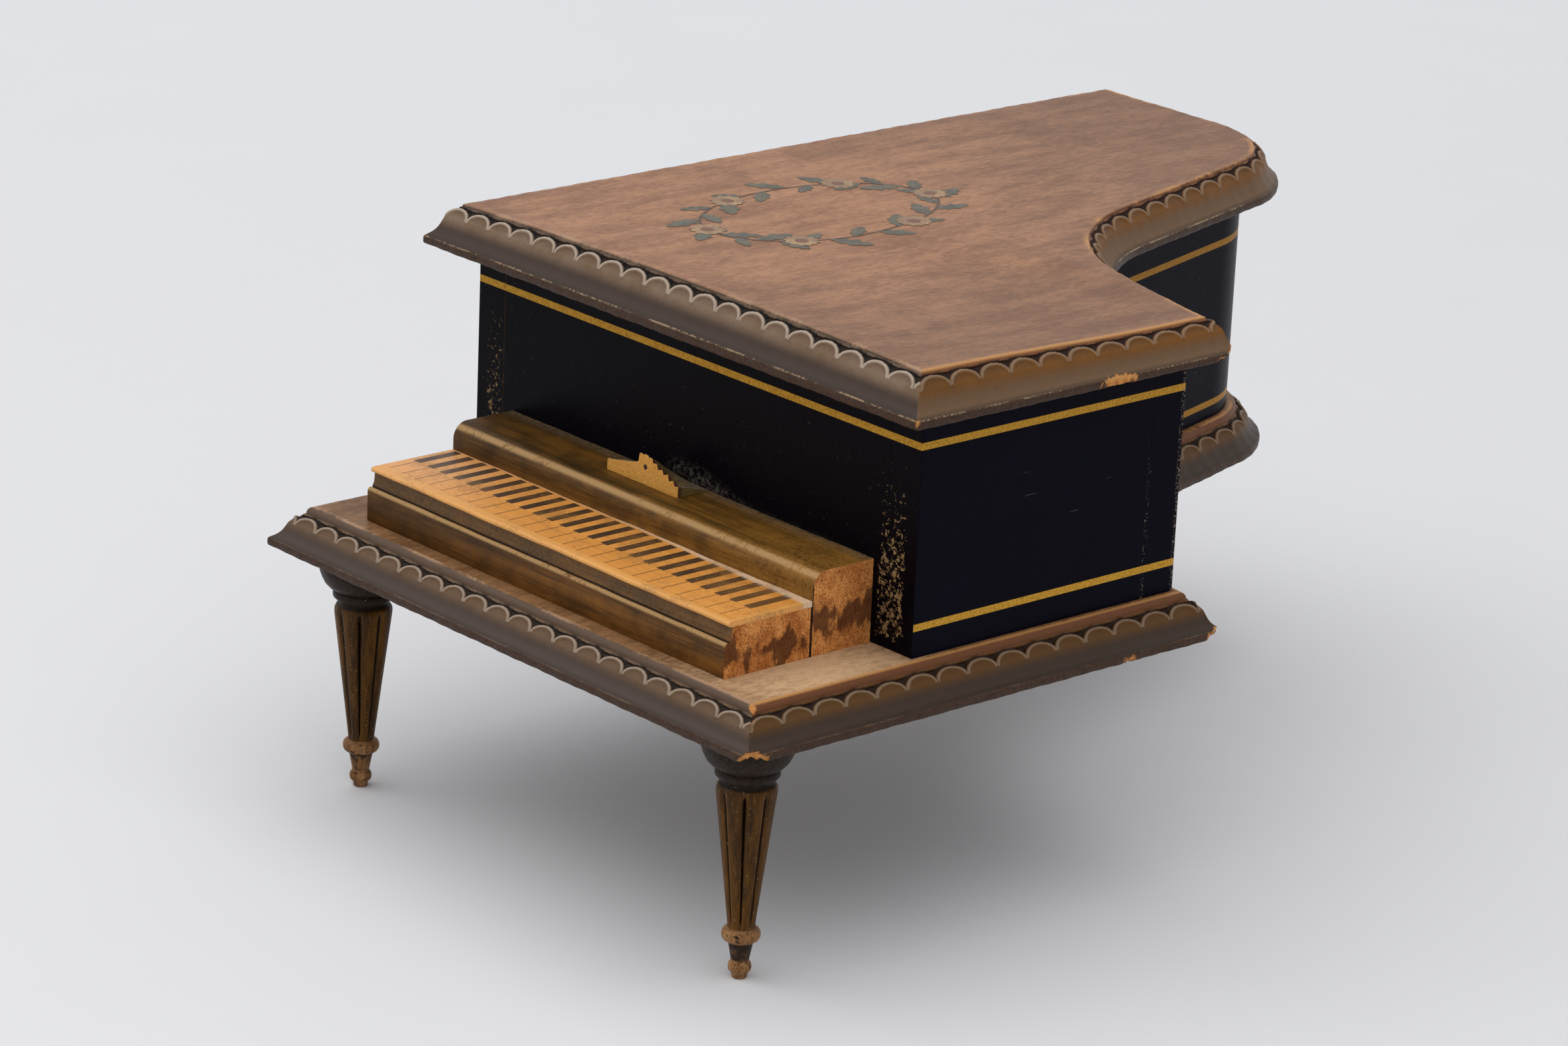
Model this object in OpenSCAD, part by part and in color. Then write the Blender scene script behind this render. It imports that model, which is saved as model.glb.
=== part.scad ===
// Grand-piano-shaped musical box with a hinged lid and a key-wound cylinder movement.
// The keyboard faces -Y, the straight spine lies at -X, and the feet stand on z = 0.

/* [Case] */
// Width of the case across the keyboard
case_w = 160; // [150:1:170]
// Length of the case from its front panel to its tail
case_l = 210; // [205:1:220]
// Height of the case walls
case_h = 58; // [56:1:66]
// Thickness of the case walls
wall = 10; // [8.5:0.5:11]
// Length of the straight treble cheek
cheek_l = 82.5; // [80:0.5:85]
// Distance from the spine to the start of the hollow
hollow_x = 136.2; // [132:0.2:140]
// Radius of the hollow bentside
bent_r = 63; // [58:1:66]
// Angle of the bentside at the cheek, from straight across
bent_turn = 8; // [6:0.5:10]
// Lean of the bentside towards the spine at the tail
tail_lean = 15.5; // [14:0.5:17]
// Radius of the rounded tail corner
tail_r = 31; // [26:1:34]
// Thickness of the partition in front of the movement
partition_t = 4; // [3:0.5:5]
// Distance of the partition from the case front
partition_y = 84; // [80:1:85]

/* [Boards] */
// Thickness of the moulded base board
base_t = 10.5; // [9:0.1:12]
// Thickness of the moulded lid
lid_t = 10.4; // [9:0.1:12]
// Overhang of the boards' flat top beyond the case
flat_out = 2.7; // [2:0.1:3.2]
// Overhang of the boards' lower lip beyond the case
lip_out = 9.4; // [8:0.1:10]
// Height of the plain lower lip
lip_h = 2; // [1.5:0.1:2.5]
// Height of the square fillet under the flat top
fillet_h = 1.8; // [1.2:0.1:2.2]
// Width of the step between the fillet and the ogee
step_w = 0.7; // [0.4:0.1:1]
// Depth of the keyboard shelf, in front of the case
shelf_d = 46.5; // [46:0.5:52]
// Extra nose of the lid beyond the front panel
lid_nose = 1.1; // [0.5:0.1:3]
// Gap between the closed lid and the case walls
lid_gap = 0.2; // [0.1:0.05:0.4]

/* [Keyboard] */
// Length of the keyboard, along the case width
keys_l = 132; // [120:1:138]
// Depth of the keyboard block
keys_d = 25.5; // [23:0.5:28]
// Height of the keyboard block
keys_h = 12; // [11:0.5:14]
// Thickness of the printed key strip
strip_t = 1.3; // [1:0.1:1.8]
// Depth of the fallboard block
fall_d = 18; // [16:0.5:18.5]
// Height of the fallboard block
fall_h = 20; // [18:0.5:24]
// Radius of the fallboard's front edge
fall_r = 4; // [2:0.5:5]
// Width of the music desk
desk_w = 26; // [22:1:30]
// Height of the music desk's crest
desk_h = 8; // [6:0.5:10]
// Depth of the music desk
desk_d = 9.7; // [8:0.1:11]
// Place of the music desk's middle across the keyboard
desk_x = -4.6; // [-8:0.1:0]

/* [Legs] */
// Height of the legs under the base board
leg_h = 60; // [57:1:68]
// Distance of the front legs in from the case sides
leg_in = 8.5; // [7:0.5:14]
// Distance of the front legs in front of the case
leg_front = 40; // [36:0.5:42]
// Distance of the rear leg from the tail
leg_tail = 22; // [20:1:28]
// Distance of the rear leg from the spine
leg_spine = 35; // [30:1:38]
// Radius of the cup under the base board
leg_cup_r = 11; // [10:0.5:12]
// Radius of the reeded shaft at its shoulder
leg_top_r = 7.1; // [6.5:0.1:7.4]
// Radius of the reeded shaft at its foot ring
leg_foot_r = 3.1; // [2.8:0.1:3.5]
// Number of reeds round the shaft
leg_reeds = 8; // [6:1:10]
// Radius of the grooves between the reeds
reed_cut_r = 0.75; // [0.5:0.05:0.9]
// Radius of the leg's tenon
tenon_r = 4; // [3:0.5:5]
// Length of the leg's tenon
tenon_l = 6; // [5:0.5:7]

/* [Hinges] */
// Length of each lid hinge
hinge_l = 22; // [18:1:26]
// Distance of the first hinge from the case front
hinge_first = 35; // [30:1:45]
// Distance between the two hinges
hinge_pitch = 135; // [120:1:145]
// Radius of the hinge knuckles
knuckle_r = 1.7; // [1.6:0.1:1.9]
// Radius of the hinge pins
hinge_pin_r = 0.8; // [0.7:0.05:0.9]
// Thickness of the hinge leaves
leaf_t = 0.9; // [0.8:0.05:1.1]
// Reach of the hinge leaves over the wall
leaf_w = 7.5; // [7:0.1:8]

/* [Movement] */
// Length of the bedplate
bed_l = 84; // [84:0.5:85]
// Width of the bedplate
bed_w = 48; // [47.5:0.5:49]
// Thickness of the bedplate
bed_t = 3; // [2.6:0.1:3.6]
// Gap between the partition and the bedplate
bed_gap = 3; // [1.5:0.5:3.5]
// Gap between the spine wall and the bedplate
bed_side = 2; // [1.5:0.1:2.2]
// Outer radius of the spring barrel
barrel_r = 13.2; // [12.8:0.1:13.6]
// Width of the crown of teeth on the barrel
crown_w = 2.2; // [2:0.1:2.4]
// Height of the cylinder axis over the base board
axis_z = 18; // [17.5:0.5:20]
// Radius of the pinned cylinder
cyl_r = 7; // [6.5:0.1:7.4]
// Length of the pinned cylinder
cyl_l = 28.6; // [27:0.2:28.8]
// Radius of the cylinder arbor
cyl_arbor_r = 1.5; // [1.3:0.1:1.7]
// Height of the pins on the cylinder
pin_h = 0.65; // [0.5:0.05:0.8]
// Radius of the pins on the cylinder
pin_r = 0.22; // [0.18:0.01:0.26]
// Number of teeth in the comb
comb_teeth = 22; // [18:1:22]
// Width of the slits between comb teeth
comb_slit = 0.32; // [0.25:0.01:0.4]
// Length of the longest comb tooth
comb_reach = 10.3; // [9.5:0.1:10.6]
// Depth of the comb's heel
comb_heel = 7; // [6.5:0.1:7.2]
// Thickness of the comb's heel
comb_heel_t = 2; // [1.6:0.1:2.4]
// Radius of the winding arbor
wind_r = 2; // [1.8:0.1:2.2]
// Radius of the ratchet wheel
ratchet_r = 6.5; // [6.2:0.1:6.7]
// Radius of the governor fan
fan_r = 5.3; // [4.5:0.1:5.4]
// Height of the governor fan
fan_h = 7; // [5:0.5:7.5]
// Width of the winding key across its wings
key_w = 30; // [26:1:36]
// Radius of the winding key's wings
key_wing_r = 7; // [6:0.5:8]
// Thickness of the winding key's wings
key_t = 2.2; // [1.8:0.1:3]

/* [Fits] */
// Radial running clearance of pivots and arbors
run_fit = 0.05; // [0.03:0.01:0.08]
// Clearance between pieces that are fitted together
seat_fit = 0.05; // [0.02:0.01:0.1]
// Gap between pieces that pass each other
pass_gap = 0.3; // [0.2:0.05:0.4]

/* [Hidden] */
$fn = 48;
eps = 0.02;
hw = case_w / 2;
y0 = -(case_l - shelf_d) / 2;
base_top = leg_h + base_t;
lid_z = case_h + lid_gap;

// Piano outline: the concave bentside arc and the convex tail corner
bent_steps = 20;
tail_steps = 14;
bent_end_turn = 90 - tail_lean;
lead_end = [hollow_x - hw, cheek_l + (case_w - hollow_x) * tan(bent_turn)];
bent_c = lead_end + bent_r * [sin(bent_turn), cos(bent_turn)];
bent_end = bent_c - bent_r * [sin(bent_end_turn), cos(bent_end_turn)];
tail_start_y = case_l - tail_r + tail_r * cos(bent_end_turn);
tail_run = (tail_start_y - bent_end[1]) / sin(bent_end_turn);
tail_c = [bent_end[0] - tail_run * cos(bent_end_turn) - tail_r * sin(bent_end_turn), case_l - tail_r];

// Point of the outline at the cheek's far corner, moved out by a distance
function cheek_corner(out) =
    let (along = out * (1 - sin(bent_turn)) / cos(bent_turn))
    [hw + out, cheek_l + out * cos(bent_turn) - along * sin(bent_turn)];

// Bentside and tail corner, from the cheek to the straight tail, moved out by a distance
function bent_line(out) = concat(
    [for (i = [0:bent_steps])
        let (a = bent_turn + (bent_end_turn - bent_turn) * i / bent_steps)
        bent_c - (bent_r - out) * [sin(a), cos(a)]],
    [for (i = [0:tail_steps])
        let (a = bent_end_turn * (1 - i / tail_steps))
        tail_c + (tail_r + out) * [sin(a), cos(a)]]);

// Whole outline, anticlockwise from the front left corner, with a shelf in front of the case
function outline(out, shelf) = concat(
    [[-hw - out, -shelf - out], [hw + out, -shelf - out], cheek_corner(out)],
    bent_line(out),
    [[-hw - out, case_l + out]]);

// Ogee of the moulded edge from the lip up, closed along the core, as [overhang, height]
edge_steps = 5;
function edge_profile(t, low) =
    let (
        foot = [lip_out - 0.2, lip_h + 0.2],
        head = [flat_out + step_w, t - fillet_h],
        mid = [(foot[0] + head[0]) / 2, (foot[1] + head[1]) / 2],
        inside = flat_out)
    concat(
        [[inside, low], [foot[0], low]],
        [for (i = [0:edge_steps])
            let (a = 90 * i / edge_steps)
            [foot[0] - (foot[0] - mid[0]) * sin(a), mid[1] - (mid[1] - foot[1]) * cos(a)]],
        [for (i = [1:edge_steps])
            let (a = 90 * i / edge_steps)
            [head[0] + (mid[0] - head[0]) * cos(a), mid[1] + (head[1] - mid[1]) * sin(a)]],
        [[inside, head[1]]]);

// Movement layout, in its own frame: +X towards the tail, +Y towards the spine
mov_x = -hw + wall + bed_side + bed_w / 2;
mov_y = partition_y + partition_t + bed_gap + bed_l / 2;
bed_r = 3;
cyl_y = 3;
barrel_x = -bed_l / 2 + 18;
crown_teeth = 36;
pinion_teeth = 12;
crown_r = barrel_r - crown_w / 2;
pinion_r = crown_r * pinion_teeth / crown_teeth;
crown_z = axis_z - pinion_r;
crown_up = 0.5;
crown_down = 0.95;
crown_slot = 1.32;
barrel_z = bed_t + pass_gap;
barrel_floor = 1.2;
barrel_in_r = barrel_r - crown_w;
cover_t = 1;
cover_z = crown_z - crown_down - pass_gap - cover_t;
cover_ledge = 0.6;
arbor_core_r = 3.6;
spring_t = 0.45;
spring_turns = 6;
spring_steps = 20;
spring_in_r = arbor_core_r + pass_gap + spring_t / 2;
spring_out_r = barrel_in_r - cover_ledge - pass_gap - spring_t / 2;
bridge_z = crown_z + crown_up + 0.9;
bridge_t = 1.8;
bridge_w = 9;
bridge_top = bridge_z + bridge_t;
pillar_r = 2.4;
pillar_y = barrel_r + pillar_r + 0.9;
pillar_screw_r = 1;

// Ratchet and click on the bridge, in polar places round the winding arbor
ratchet_teeth = 24;
ratchet_depth = 0.9;
ratchet_t = 1.2;
ratchet_z = bridge_top + pass_gap / 2;
ratchet_in_r = ratchet_r - ratchet_depth;
click_a = 120;
click_pivot_r = 0.9;
click_boss_r = 1.9;
click_place = [ratchet_r + 3.7, 75.8];
click_gap = 0.5;
function polar(place) = place[0] * [cos(place[1]), sin(place[1])];

// Gear train: cylinder gear, transfer pinion, worm wheel and worm
train_m = 0.4;
cyl_gear_teeth = 40;
transfer_teeth = 10;
wheel_teeth = 30;
mesh_gap = 0.08;
cyl_off = 21;
cyl_x = barrel_x + cyl_off;
cyl_end = cyl_x + cyl_l;
plate_t = 1.5;
left_plate_x = cyl_x - 1.9 - plate_t;
right_plate_x = cyl_end + 1;
cyl_gear_x = right_plate_x + plate_t + 0.8;
cyl_gear_t = 1.6;
train_a = 45;
train_d = train_m * (cyl_gear_teeth + transfer_teeth) / 2 + mesh_gap;
transfer_y = cyl_y + train_d * cos(train_a);
transfer_z = axis_z + train_d * sin(train_a);
transfer_arbor_r = 0.9;
wheel_t = 1.2;
wheel_x = cyl_gear_x + cyl_gear_t + 1.6;
worm_root_r = 1.1;
worm_tip_r = 2;
worm_r = 1.6;
worm_x = wheel_x + wheel_t / 2;
worm_y = transfer_y + train_m * wheel_teeth / 2 + worm_r + mesh_gap;
worm_lead = 3.14159265 * train_m;
worm_turns = 8;
worm_shaft_r = 1;
worm_pivot_r = 0.8;
disc_r = 3.2;
disc_t = 1;
disc_z = transfer_z + worm_turns * worm_lead / 2 + 1;
frame_foot = 1.6;
frame_x = worm_x + fan_r + 0.7;
frame_arm_z = disc_z + disc_t + 1.2;
frame_arm_t = 1.6;
fan_z = bed_t + frame_foot + 2.2;
foot_l = 8;
foot_w = 10;

// Stop lever: a stamped steel lever between the lid and the brake disc
stop_t = 1.2;
stop_w = 1.8;
stop_pivot_r = 1;
stop_boss_r = 2.1;
stop_y = worm_y + disc_r + 1.3;
stop_z = transfer_z - 1.2;
stop_rise = 5;
stop_bend_z = frame_arm_z + frame_arm_t + stop_rise;
frame_side = 4;
frame_arm_d = 6;
frame_arm_tip = 2.5;
stop_tip = [2, lid_z - 0.35 - stop_w / 2];
frame_w = stop_y + stop_boss_r + 0.2 - (transfer_y - frame_side);

// Comb and its riser
comb_pitch = (cyl_l - 0.6) / comb_teeth;
comb_tip_y = cyl_y - cyl_r - pin_h - 0.2;
comb_root_y = comb_tip_y - comb_reach;
comb_back_y = comb_root_y - comb_heel;
comb_z = axis_z - 0.9;
tooth_t = 0.7;
comb_screw_r = 1;
comb_screw_grip = 5;

// Screws that hold the movement, as places on the bedplate
screw_r = 1.4;
screw_head_r = 2.5;
screw_head_t = 1.5;
screw_l = 5.5;
bed_screw_in = 4;
bed_screw_end = 3.5;
bed_screw_tail = 5;
bed_screw_mid = 20;
bed_screws = [
    [-bed_l / 2 + bed_screw_end, -bed_w / 2 + bed_screw_in],
    [-bed_l / 2 + bed_screw_end, bed_w / 2 - bed_screw_in],
    [bed_l / 2 - bed_screw_tail, -bed_w / 2 + bed_screw_in],
    [cyl_x + bed_screw_mid, bed_w / 2 - bed_screw_in]];
small_screw_r = 1;
small_head_r = 1.8;
small_head_t = 1.3;
small_screws = [
    [cyl_x + 3, cyl_y],
    [right_plate_x - foot_l / 2, cyl_y],
    [worm_x + 3.2, worm_y]];

// Winding key under the base board
key_hub_r = 3.4;
key_hub_l = 11;
key_top = -base_t - 1.5;
key_hole_r = wind_r + 2.5;

// Hinges along the spine
hinge_x = -hw - knuckle_r - 0.1;
hinge_z = case_h + lid_gap / 2;
knuckle_gap = 0.15;
knuckle_mid = hinge_l * 0.35;
hinge_ys = [hinge_first, hinge_first + hinge_pitch];
hinge_screw_r = 0.8;
hinge_screw_head_r = 1.6;
hinge_screw_l = 5.5;
hinge_screw_x = -hw + leaf_w - 3;
hinge_screw_y = hinge_l / 2 - 3.5;

leg_places = [[leg_in - hw, -leg_front], [hw - leg_in, -leg_front], [-hw + leg_spine, case_l - leg_tail]];
tenon_gap = seat_fit;

// Case frame: front panel at y = 0 and top of the base board at z = 0
module in_case() {
    translate([0, y0, base_top]) children();
}

// Movement frame, with its X axis turned along the case
module in_movement() {
    in_case() translate([mov_x, mov_y, 0]) rotate(90) children();
}

// Turns a flat drawing of Y and Z into a plate across the movement's X axis
module across(x, t) {
    translate([x, 0, 0]) rotate([90, 0, 90]) linear_extrude(t) children();
}

// Board with the moulded edge: lip, core and a ring of ogee moulding, from its own underside up
module moulded_board(t, shelf) {
    seam = lip_h / 2;
    linear_extrude(lip_h) polygon(outline(lip_out, shelf));
    translate([0, 0, seam]) linear_extrude(t - seam) polygon(outline(flat_out, shelf));
    profile = edge_profile(t, seam);
    turns = len(profile);
    count = len(outline(0, shelf));
    points = [for (p = profile) for (q = outline(p[0], shelf)) [q[0], q[1], p[1]]];
    faces = [for (j = [0:turns - 1]) for (i = [0:count - 1])
        let (
            here = j * count,
            next = (j + 1) % turns * count,
            k = (i + 1) % count)
        each [[here + i, next + i, here + k], [here + k, next + i, next + k]]];
    polyhedron(points, faces, convexity = 6);
}

// Upright screw whose head sits on z = 0, with a driver slot
module slotted_screw(r, l, head_r, head_t) {
    difference() {
        union() {
            cylinder(r = head_r, h = head_t);
            translate([0, 0, -l]) cylinder(r = r, h = l + eps);
        }
        translate([-head_r - 1, -0.3, head_t - 0.5]) cube([2 * head_r + 2, 0.6, 1]);
    }
}

// Flat gear with straight-sided teeth, a tooth at angle 0
module gear_shape(teeth, m, thick, tip, up, down) {
    r = m * teeth / 2;
    w = thick / r * 28.65;
    v = tip / (r + up) * 28.65;
    k = thick * 1.25 / (r - down) * 28.65;
    polygon([for (i = [0:teeth - 1]) let (a = 360 * i / teeth) each [
        polar([r - down, a - k]), polar([r, a - w]), polar([r + up, a - v]),
        polar([r + up, a + v]), polar([r, a + w]), polar([r - down, a + k])]]);
}

module base_board() color("#7a6a4a") in_case() difference() {
    translate([0, 0, -base_t]) moulded_board(base_t, shelf_d);
    for (p = leg_places) translate([p[0], p[1], -base_t - 1])
        cylinder(r = tenon_r + tenon_gap, h = tenon_l + 1.2);
    translate([mov_x - cyl_y, mov_y + barrel_x, -base_t - 1]) cylinder(r = key_hole_r, h = base_t + 2);
    translate([mov_x, mov_y, 0]) rotate(90) for (p = bed_screws)
        translate([p[0], p[1], bed_t - screw_l - 0.2]) cylinder(r = screw_r + seat_fit, h = screw_l + 1);
}

module front_panel() color("#15161a") in_case()
    translate([-hw + wall, 0, 0]) cube([case_w - 2 * wall, wall, case_h]);

// Height along Y of the bentside's inner face where it passes a place across the case
function bent_inner_y(x) =
    let (c = cheek_corner(-wall))
    c[1] - (x - c[0]) * tan(bent_turn);

module cheek_panel() color("#15161a") in_case() linear_extrude(case_h)
    polygon([[hw - wall, 0], [hw, 0], [hw, bent_inner_y(hw)], [hw - wall, bent_inner_y(hw - wall)]]);

module bentside_panel() color("#15161a") in_case() linear_extrude(case_h) {
    outer = bent_line(0);
    inner = bent_line(-wall);
    back = [for (i = [len(inner) - 1:-1:0]) inner[i]];
    polygon(concat([[hw, cheek_l]], outer, back, [[hw, bent_inner_y(hw)]]));
}

module tail_panel() color("#15161a") in_case() translate([-hw + wall, case_l - wall, 0])
    cube([tail_c[0] + hw - wall, wall, case_h]);

module spine_panel() color("#15161a") in_case() difference() {
    translate([-hw, 0, 0]) cube([wall, case_l, case_h]);
    for (y = hinge_ys) {
        translate([-hw - 1, y - hinge_l / 2 - seat_fit, case_h - leaf_t])
            cube([leaf_w + 1 + seat_fit, hinge_l + 2 * seat_fit, leaf_t + 1]);
        for (s = [-1, 1]) translate([hinge_screw_x, y + s * hinge_screw_y, case_h - leaf_t - hinge_screw_l])
            cylinder(r = hinge_screw_r + seat_fit, h = hinge_screw_l + 1);
    }
}

module partition() color("#6b4a2c") in_case() linear_extrude(case_h - 1) intersection() {
    translate([-hw, partition_y]) square([case_w, partition_t]);
    polygon(outline(-wall, 0));
}

module lid() color("#6d5239") in_case() difference() {
    translate([0, 0, lid_z]) moulded_board(lid_t, lid_nose);
    for (y = hinge_ys) {
        translate([hinge_x, y - hinge_l / 2 - pass_gap, hinge_z]) rotate([-90, 0, 0])
            cylinder(r = knuckle_r + pass_gap, h = hinge_l + 2 * pass_gap);
        translate([hinge_x, y - hinge_l / 2 - seat_fit, lid_z - 1])
            cube([-hw + leaf_w - hinge_x + seat_fit, hinge_l + 2 * seat_fit, leaf_t + 1]);
        for (s = [-1, 1]) translate([hinge_screw_x, y + s * hinge_screw_y, lid_z])
            cylinder(r = hinge_screw_r + seat_fit, h = leaf_t + hinge_screw_l);
    }
}

// Keyboard block with a cove and bead along its front
module keyboard_block() color("#7d6b46") in_case() {
    back = -fall_d;
    front = back - keys_d;
    bead = keys_h - 2.6;
    translate([-keys_l / 2, 0, 0]) rotate([90, 0, 90]) linear_extrude(keys_l) difference() {
        translate([front, 0]) square([keys_d, keys_h]);
        translate([front - 0.6, bead - 1.2]) circle(r = 1.4);
        translate([front - 1, bead]) square([1.5, keys_h]);
    }
}

module key_strip() color("#c08a50") in_case() {
    front = -fall_d - keys_d + 0.9;
    nose = strip_t / 2;
    translate([-keys_l / 2, 0, keys_h]) rotate([90, 0, 90]) linear_extrude(keys_l) union() {
        translate([front + nose, nose]) circle(r = nose);
        translate([front + nose, 0]) square([-fall_d - front - nose, strip_t]);
    }
}

module fallboard_block() color("#6f5f3f") in_case()
    translate([-keys_l / 2, 0, 0]) rotate([90, 0, 90]) linear_extrude(keys_l) union() {
        translate([-fall_d, 0]) square([fall_d, fall_h - fall_r]);
        translate([-fall_d + fall_r, 0]) square([fall_d - fall_r, fall_h]);
        translate([-fall_d + fall_r, fall_h - fall_r]) circle(r = fall_r);
    }

// Stepped gilt crest: its front outline, lofted back to nothing at the case front
module music_desk() color("#b08d3f") in_case() {
    wing_h = desk_h * 0.44;
    shoulder_h = desk_h * 0.68;
    shoulder = desk_w * 0.22;
    crest = desk_w * 0.07;
    half = [[desk_w / 2, 0], [desk_w / 2, wing_h], [shoulder * 1.35, wing_h], [shoulder, shoulder_h],
        [crest * 1.6, shoulder_h], [crest, desk_h]];
    front = concat(half, [for (i = [len(half) - 1:-1:0]) [-half[i][0], half[i][1]]]);
    count = len(front);
    back_share = 0.06;
    desk_hole_r = 0.5;
    points = concat(
        [for (p = front) [p[0], -desk_d, p[1]]],
        [for (p = front) [p[0], 0, p[1] * back_share]]);
    faces = concat(
        [[for (i = [count - 1:-1:0]) i], [for (i = [0:count - 1]) i + count]],
        [for (i = [0:count - 1])
            let (j = (i + 1) % count)
            each [[i, j, i + count], [j, j + count, i + count]]]);
    translate([desk_x, 0, fall_h]) difference() {
        polyhedron(points, faces, convexity = 6);
        translate([0, -desk_d - 1, desk_h * 0.8]) rotate([-90, 0, 0]) cylinder(r = desk_hole_r, h = 2);
    }
}

// Turned and reeded leg: tip, rings, shaft, neck and cup, with a tenon into the base board
module leg(place) {
    ring_z = 11;
    shaft_z = ring_z + 2.2;
    shoulder_z = leg_h - 15;
    cup_z = leg_h - 9;
    lean = atan((leg_top_r - leg_foot_r) / (shoulder_z - shaft_z));
    translate([place[0], place[1] + y0, 0]) difference() {
        rotate_extrude() polygon([
            [0, 0], [1.8, 0], [1.9, 1.4], [2.6, 1.9], [2.7, 2.8], [2.5, 3.7], [2.1, 4.2],
            [leg_foot_r - 0.3, ring_z - 2.2], [leg_foot_r, ring_z - 1.9], [leg_foot_r + 0.9, ring_z - 1.6],
            [leg_foot_r + 1.35, ring_z - 0.7], [leg_foot_r + 1.35, ring_z + 0.7],
            [leg_foot_r + 0.9, ring_z + 1.6], [leg_foot_r, shaft_z],
            [leg_top_r, shoulder_z], [leg_top_r - 0.2, shoulder_z + 1.3],
            [leg_top_r - 1.2, shoulder_z + 2.5],
            [leg_top_r - 1.5, cup_z - 2.2], [leg_top_r + 0.3, cup_z - 1.7], [leg_top_r + 0.4, cup_z - 0.6],
            [leg_top_r, cup_z], [leg_cup_r * 0.78, cup_z + 1], [leg_cup_r * 0.93, cup_z + 3.2],
            [leg_cup_r, cup_z + 6], [leg_cup_r, leg_h], [tenon_r, leg_h],
            [tenon_r, leg_h + tenon_l], [0, leg_h + tenon_l]]);
        for (i = [0:leg_reeds - 1]) rotate(360 * (i + 0.5) / leg_reeds)
            translate([leg_foot_r, 0, shaft_z + 0.6]) rotate([0, lean, 0])
            cylinder(r = reed_cut_r, h = (shoulder_z - shaft_z + 1) / cos(lean), $fn = 20);
    }
}

module leg_front_left() color("#6b5632") leg(leg_places[0]);
module leg_front_right() color("#6b5632") leg(leg_places[1]);
module leg_rear() color("#6b5632") leg(leg_places[2]);

// Knuckle of a hinge, bored for its pin, between two places along the hinge
module knuckle(from, to) {
    translate([hinge_x, from, hinge_z]) rotate([-90, 0, 0]) difference() {
        cylinder(r = knuckle_r, h = to - from);
        translate([0, 0, -1]) cylinder(r = hinge_pin_r + run_fit, h = to - from + 2);
    }
}

// Leaf of a hinge with countersunk screw holes, between two heights
module leaf(y, low, up) {
    difference() {
        translate([hinge_x, y - hinge_l / 2, low]) cube([-hw + leaf_w - hinge_x, hinge_l, leaf_t]);
        for (s = [-1, 1]) translate([hinge_screw_x, y + s * hinge_screw_y, up ? low : low + leaf_t])
            mirror([0, 0, up ? 1 : 0]) hinge_screw(seat_fit);
        translate([hinge_x, y - hinge_l, hinge_z]) rotate([-90, 0, 0])
            cylinder(r = hinge_pin_r + run_fit, h = 2 * hinge_l);
        children();
    }
}

// Countersunk hinge screw, head flush with z = 0, grown by a clearance
module hinge_screw(grow) {
    head_t = leaf_t;
    translate([0, 0, -head_t])
        cylinder(r1 = hinge_screw_r + grow, r2 = hinge_screw_head_r + grow, h = head_t);
    translate([0, 0, -leaf_t - hinge_screw_l + 0.3])
        cylinder(r = hinge_screw_r + grow, h = hinge_screw_l - 0.3 + eps);
}

module hinge_case_leaves() color("#a98d4d") in_case() for (y = hinge_ys) {
    half = knuckle_mid / 2 + knuckle_gap;
    union() {
        leaf(y, case_h - leaf_t, false)
            translate([hinge_x - 1, y - half, 0]) cube([knuckle_r + 1 + knuckle_gap, 2 * half, 2 * case_h]);
        knuckle(y - hinge_l / 2, y - half);
        knuckle(y + half, y + hinge_l / 2);
    }
}

module hinge_lid_leaves() color("#a98d4d") in_case() for (y = hinge_ys) {
    half = knuckle_mid / 2;
    far = half + knuckle_gap;
    union() {
        leaf(y, lid_z, true) for (s = [-1, 1])
            translate([hinge_x - 1, y + (s > 0 ? far - knuckle_gap : -hinge_l), 0])
            cube([knuckle_r + 1 + knuckle_gap, hinge_l - far + knuckle_gap, 2 * case_h]);
        knuckle(y - half, y + half);
    }
}

module hinge_pins() color("#8d8d90") in_case() for (y = hinge_ys)
    translate([hinge_x, y - hinge_l / 2, hinge_z]) rotate([-90, 0, 0])
    cylinder(r = hinge_pin_r, h = hinge_l);

module hinge_case_screws() color("#a98d4d") in_case() for (y = hinge_ys) for (s = [-1, 1])
    translate([hinge_screw_x, y + s * hinge_screw_y, case_h]) hinge_screw(0);

module hinge_lid_screws() color("#a98d4d") in_case() for (y = hinge_ys) for (s = [-1, 1])
    translate([hinge_screw_x, y + s * hinge_screw_y, lid_z]) mirror([0, 0, 1]) hinge_screw(0);

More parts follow.
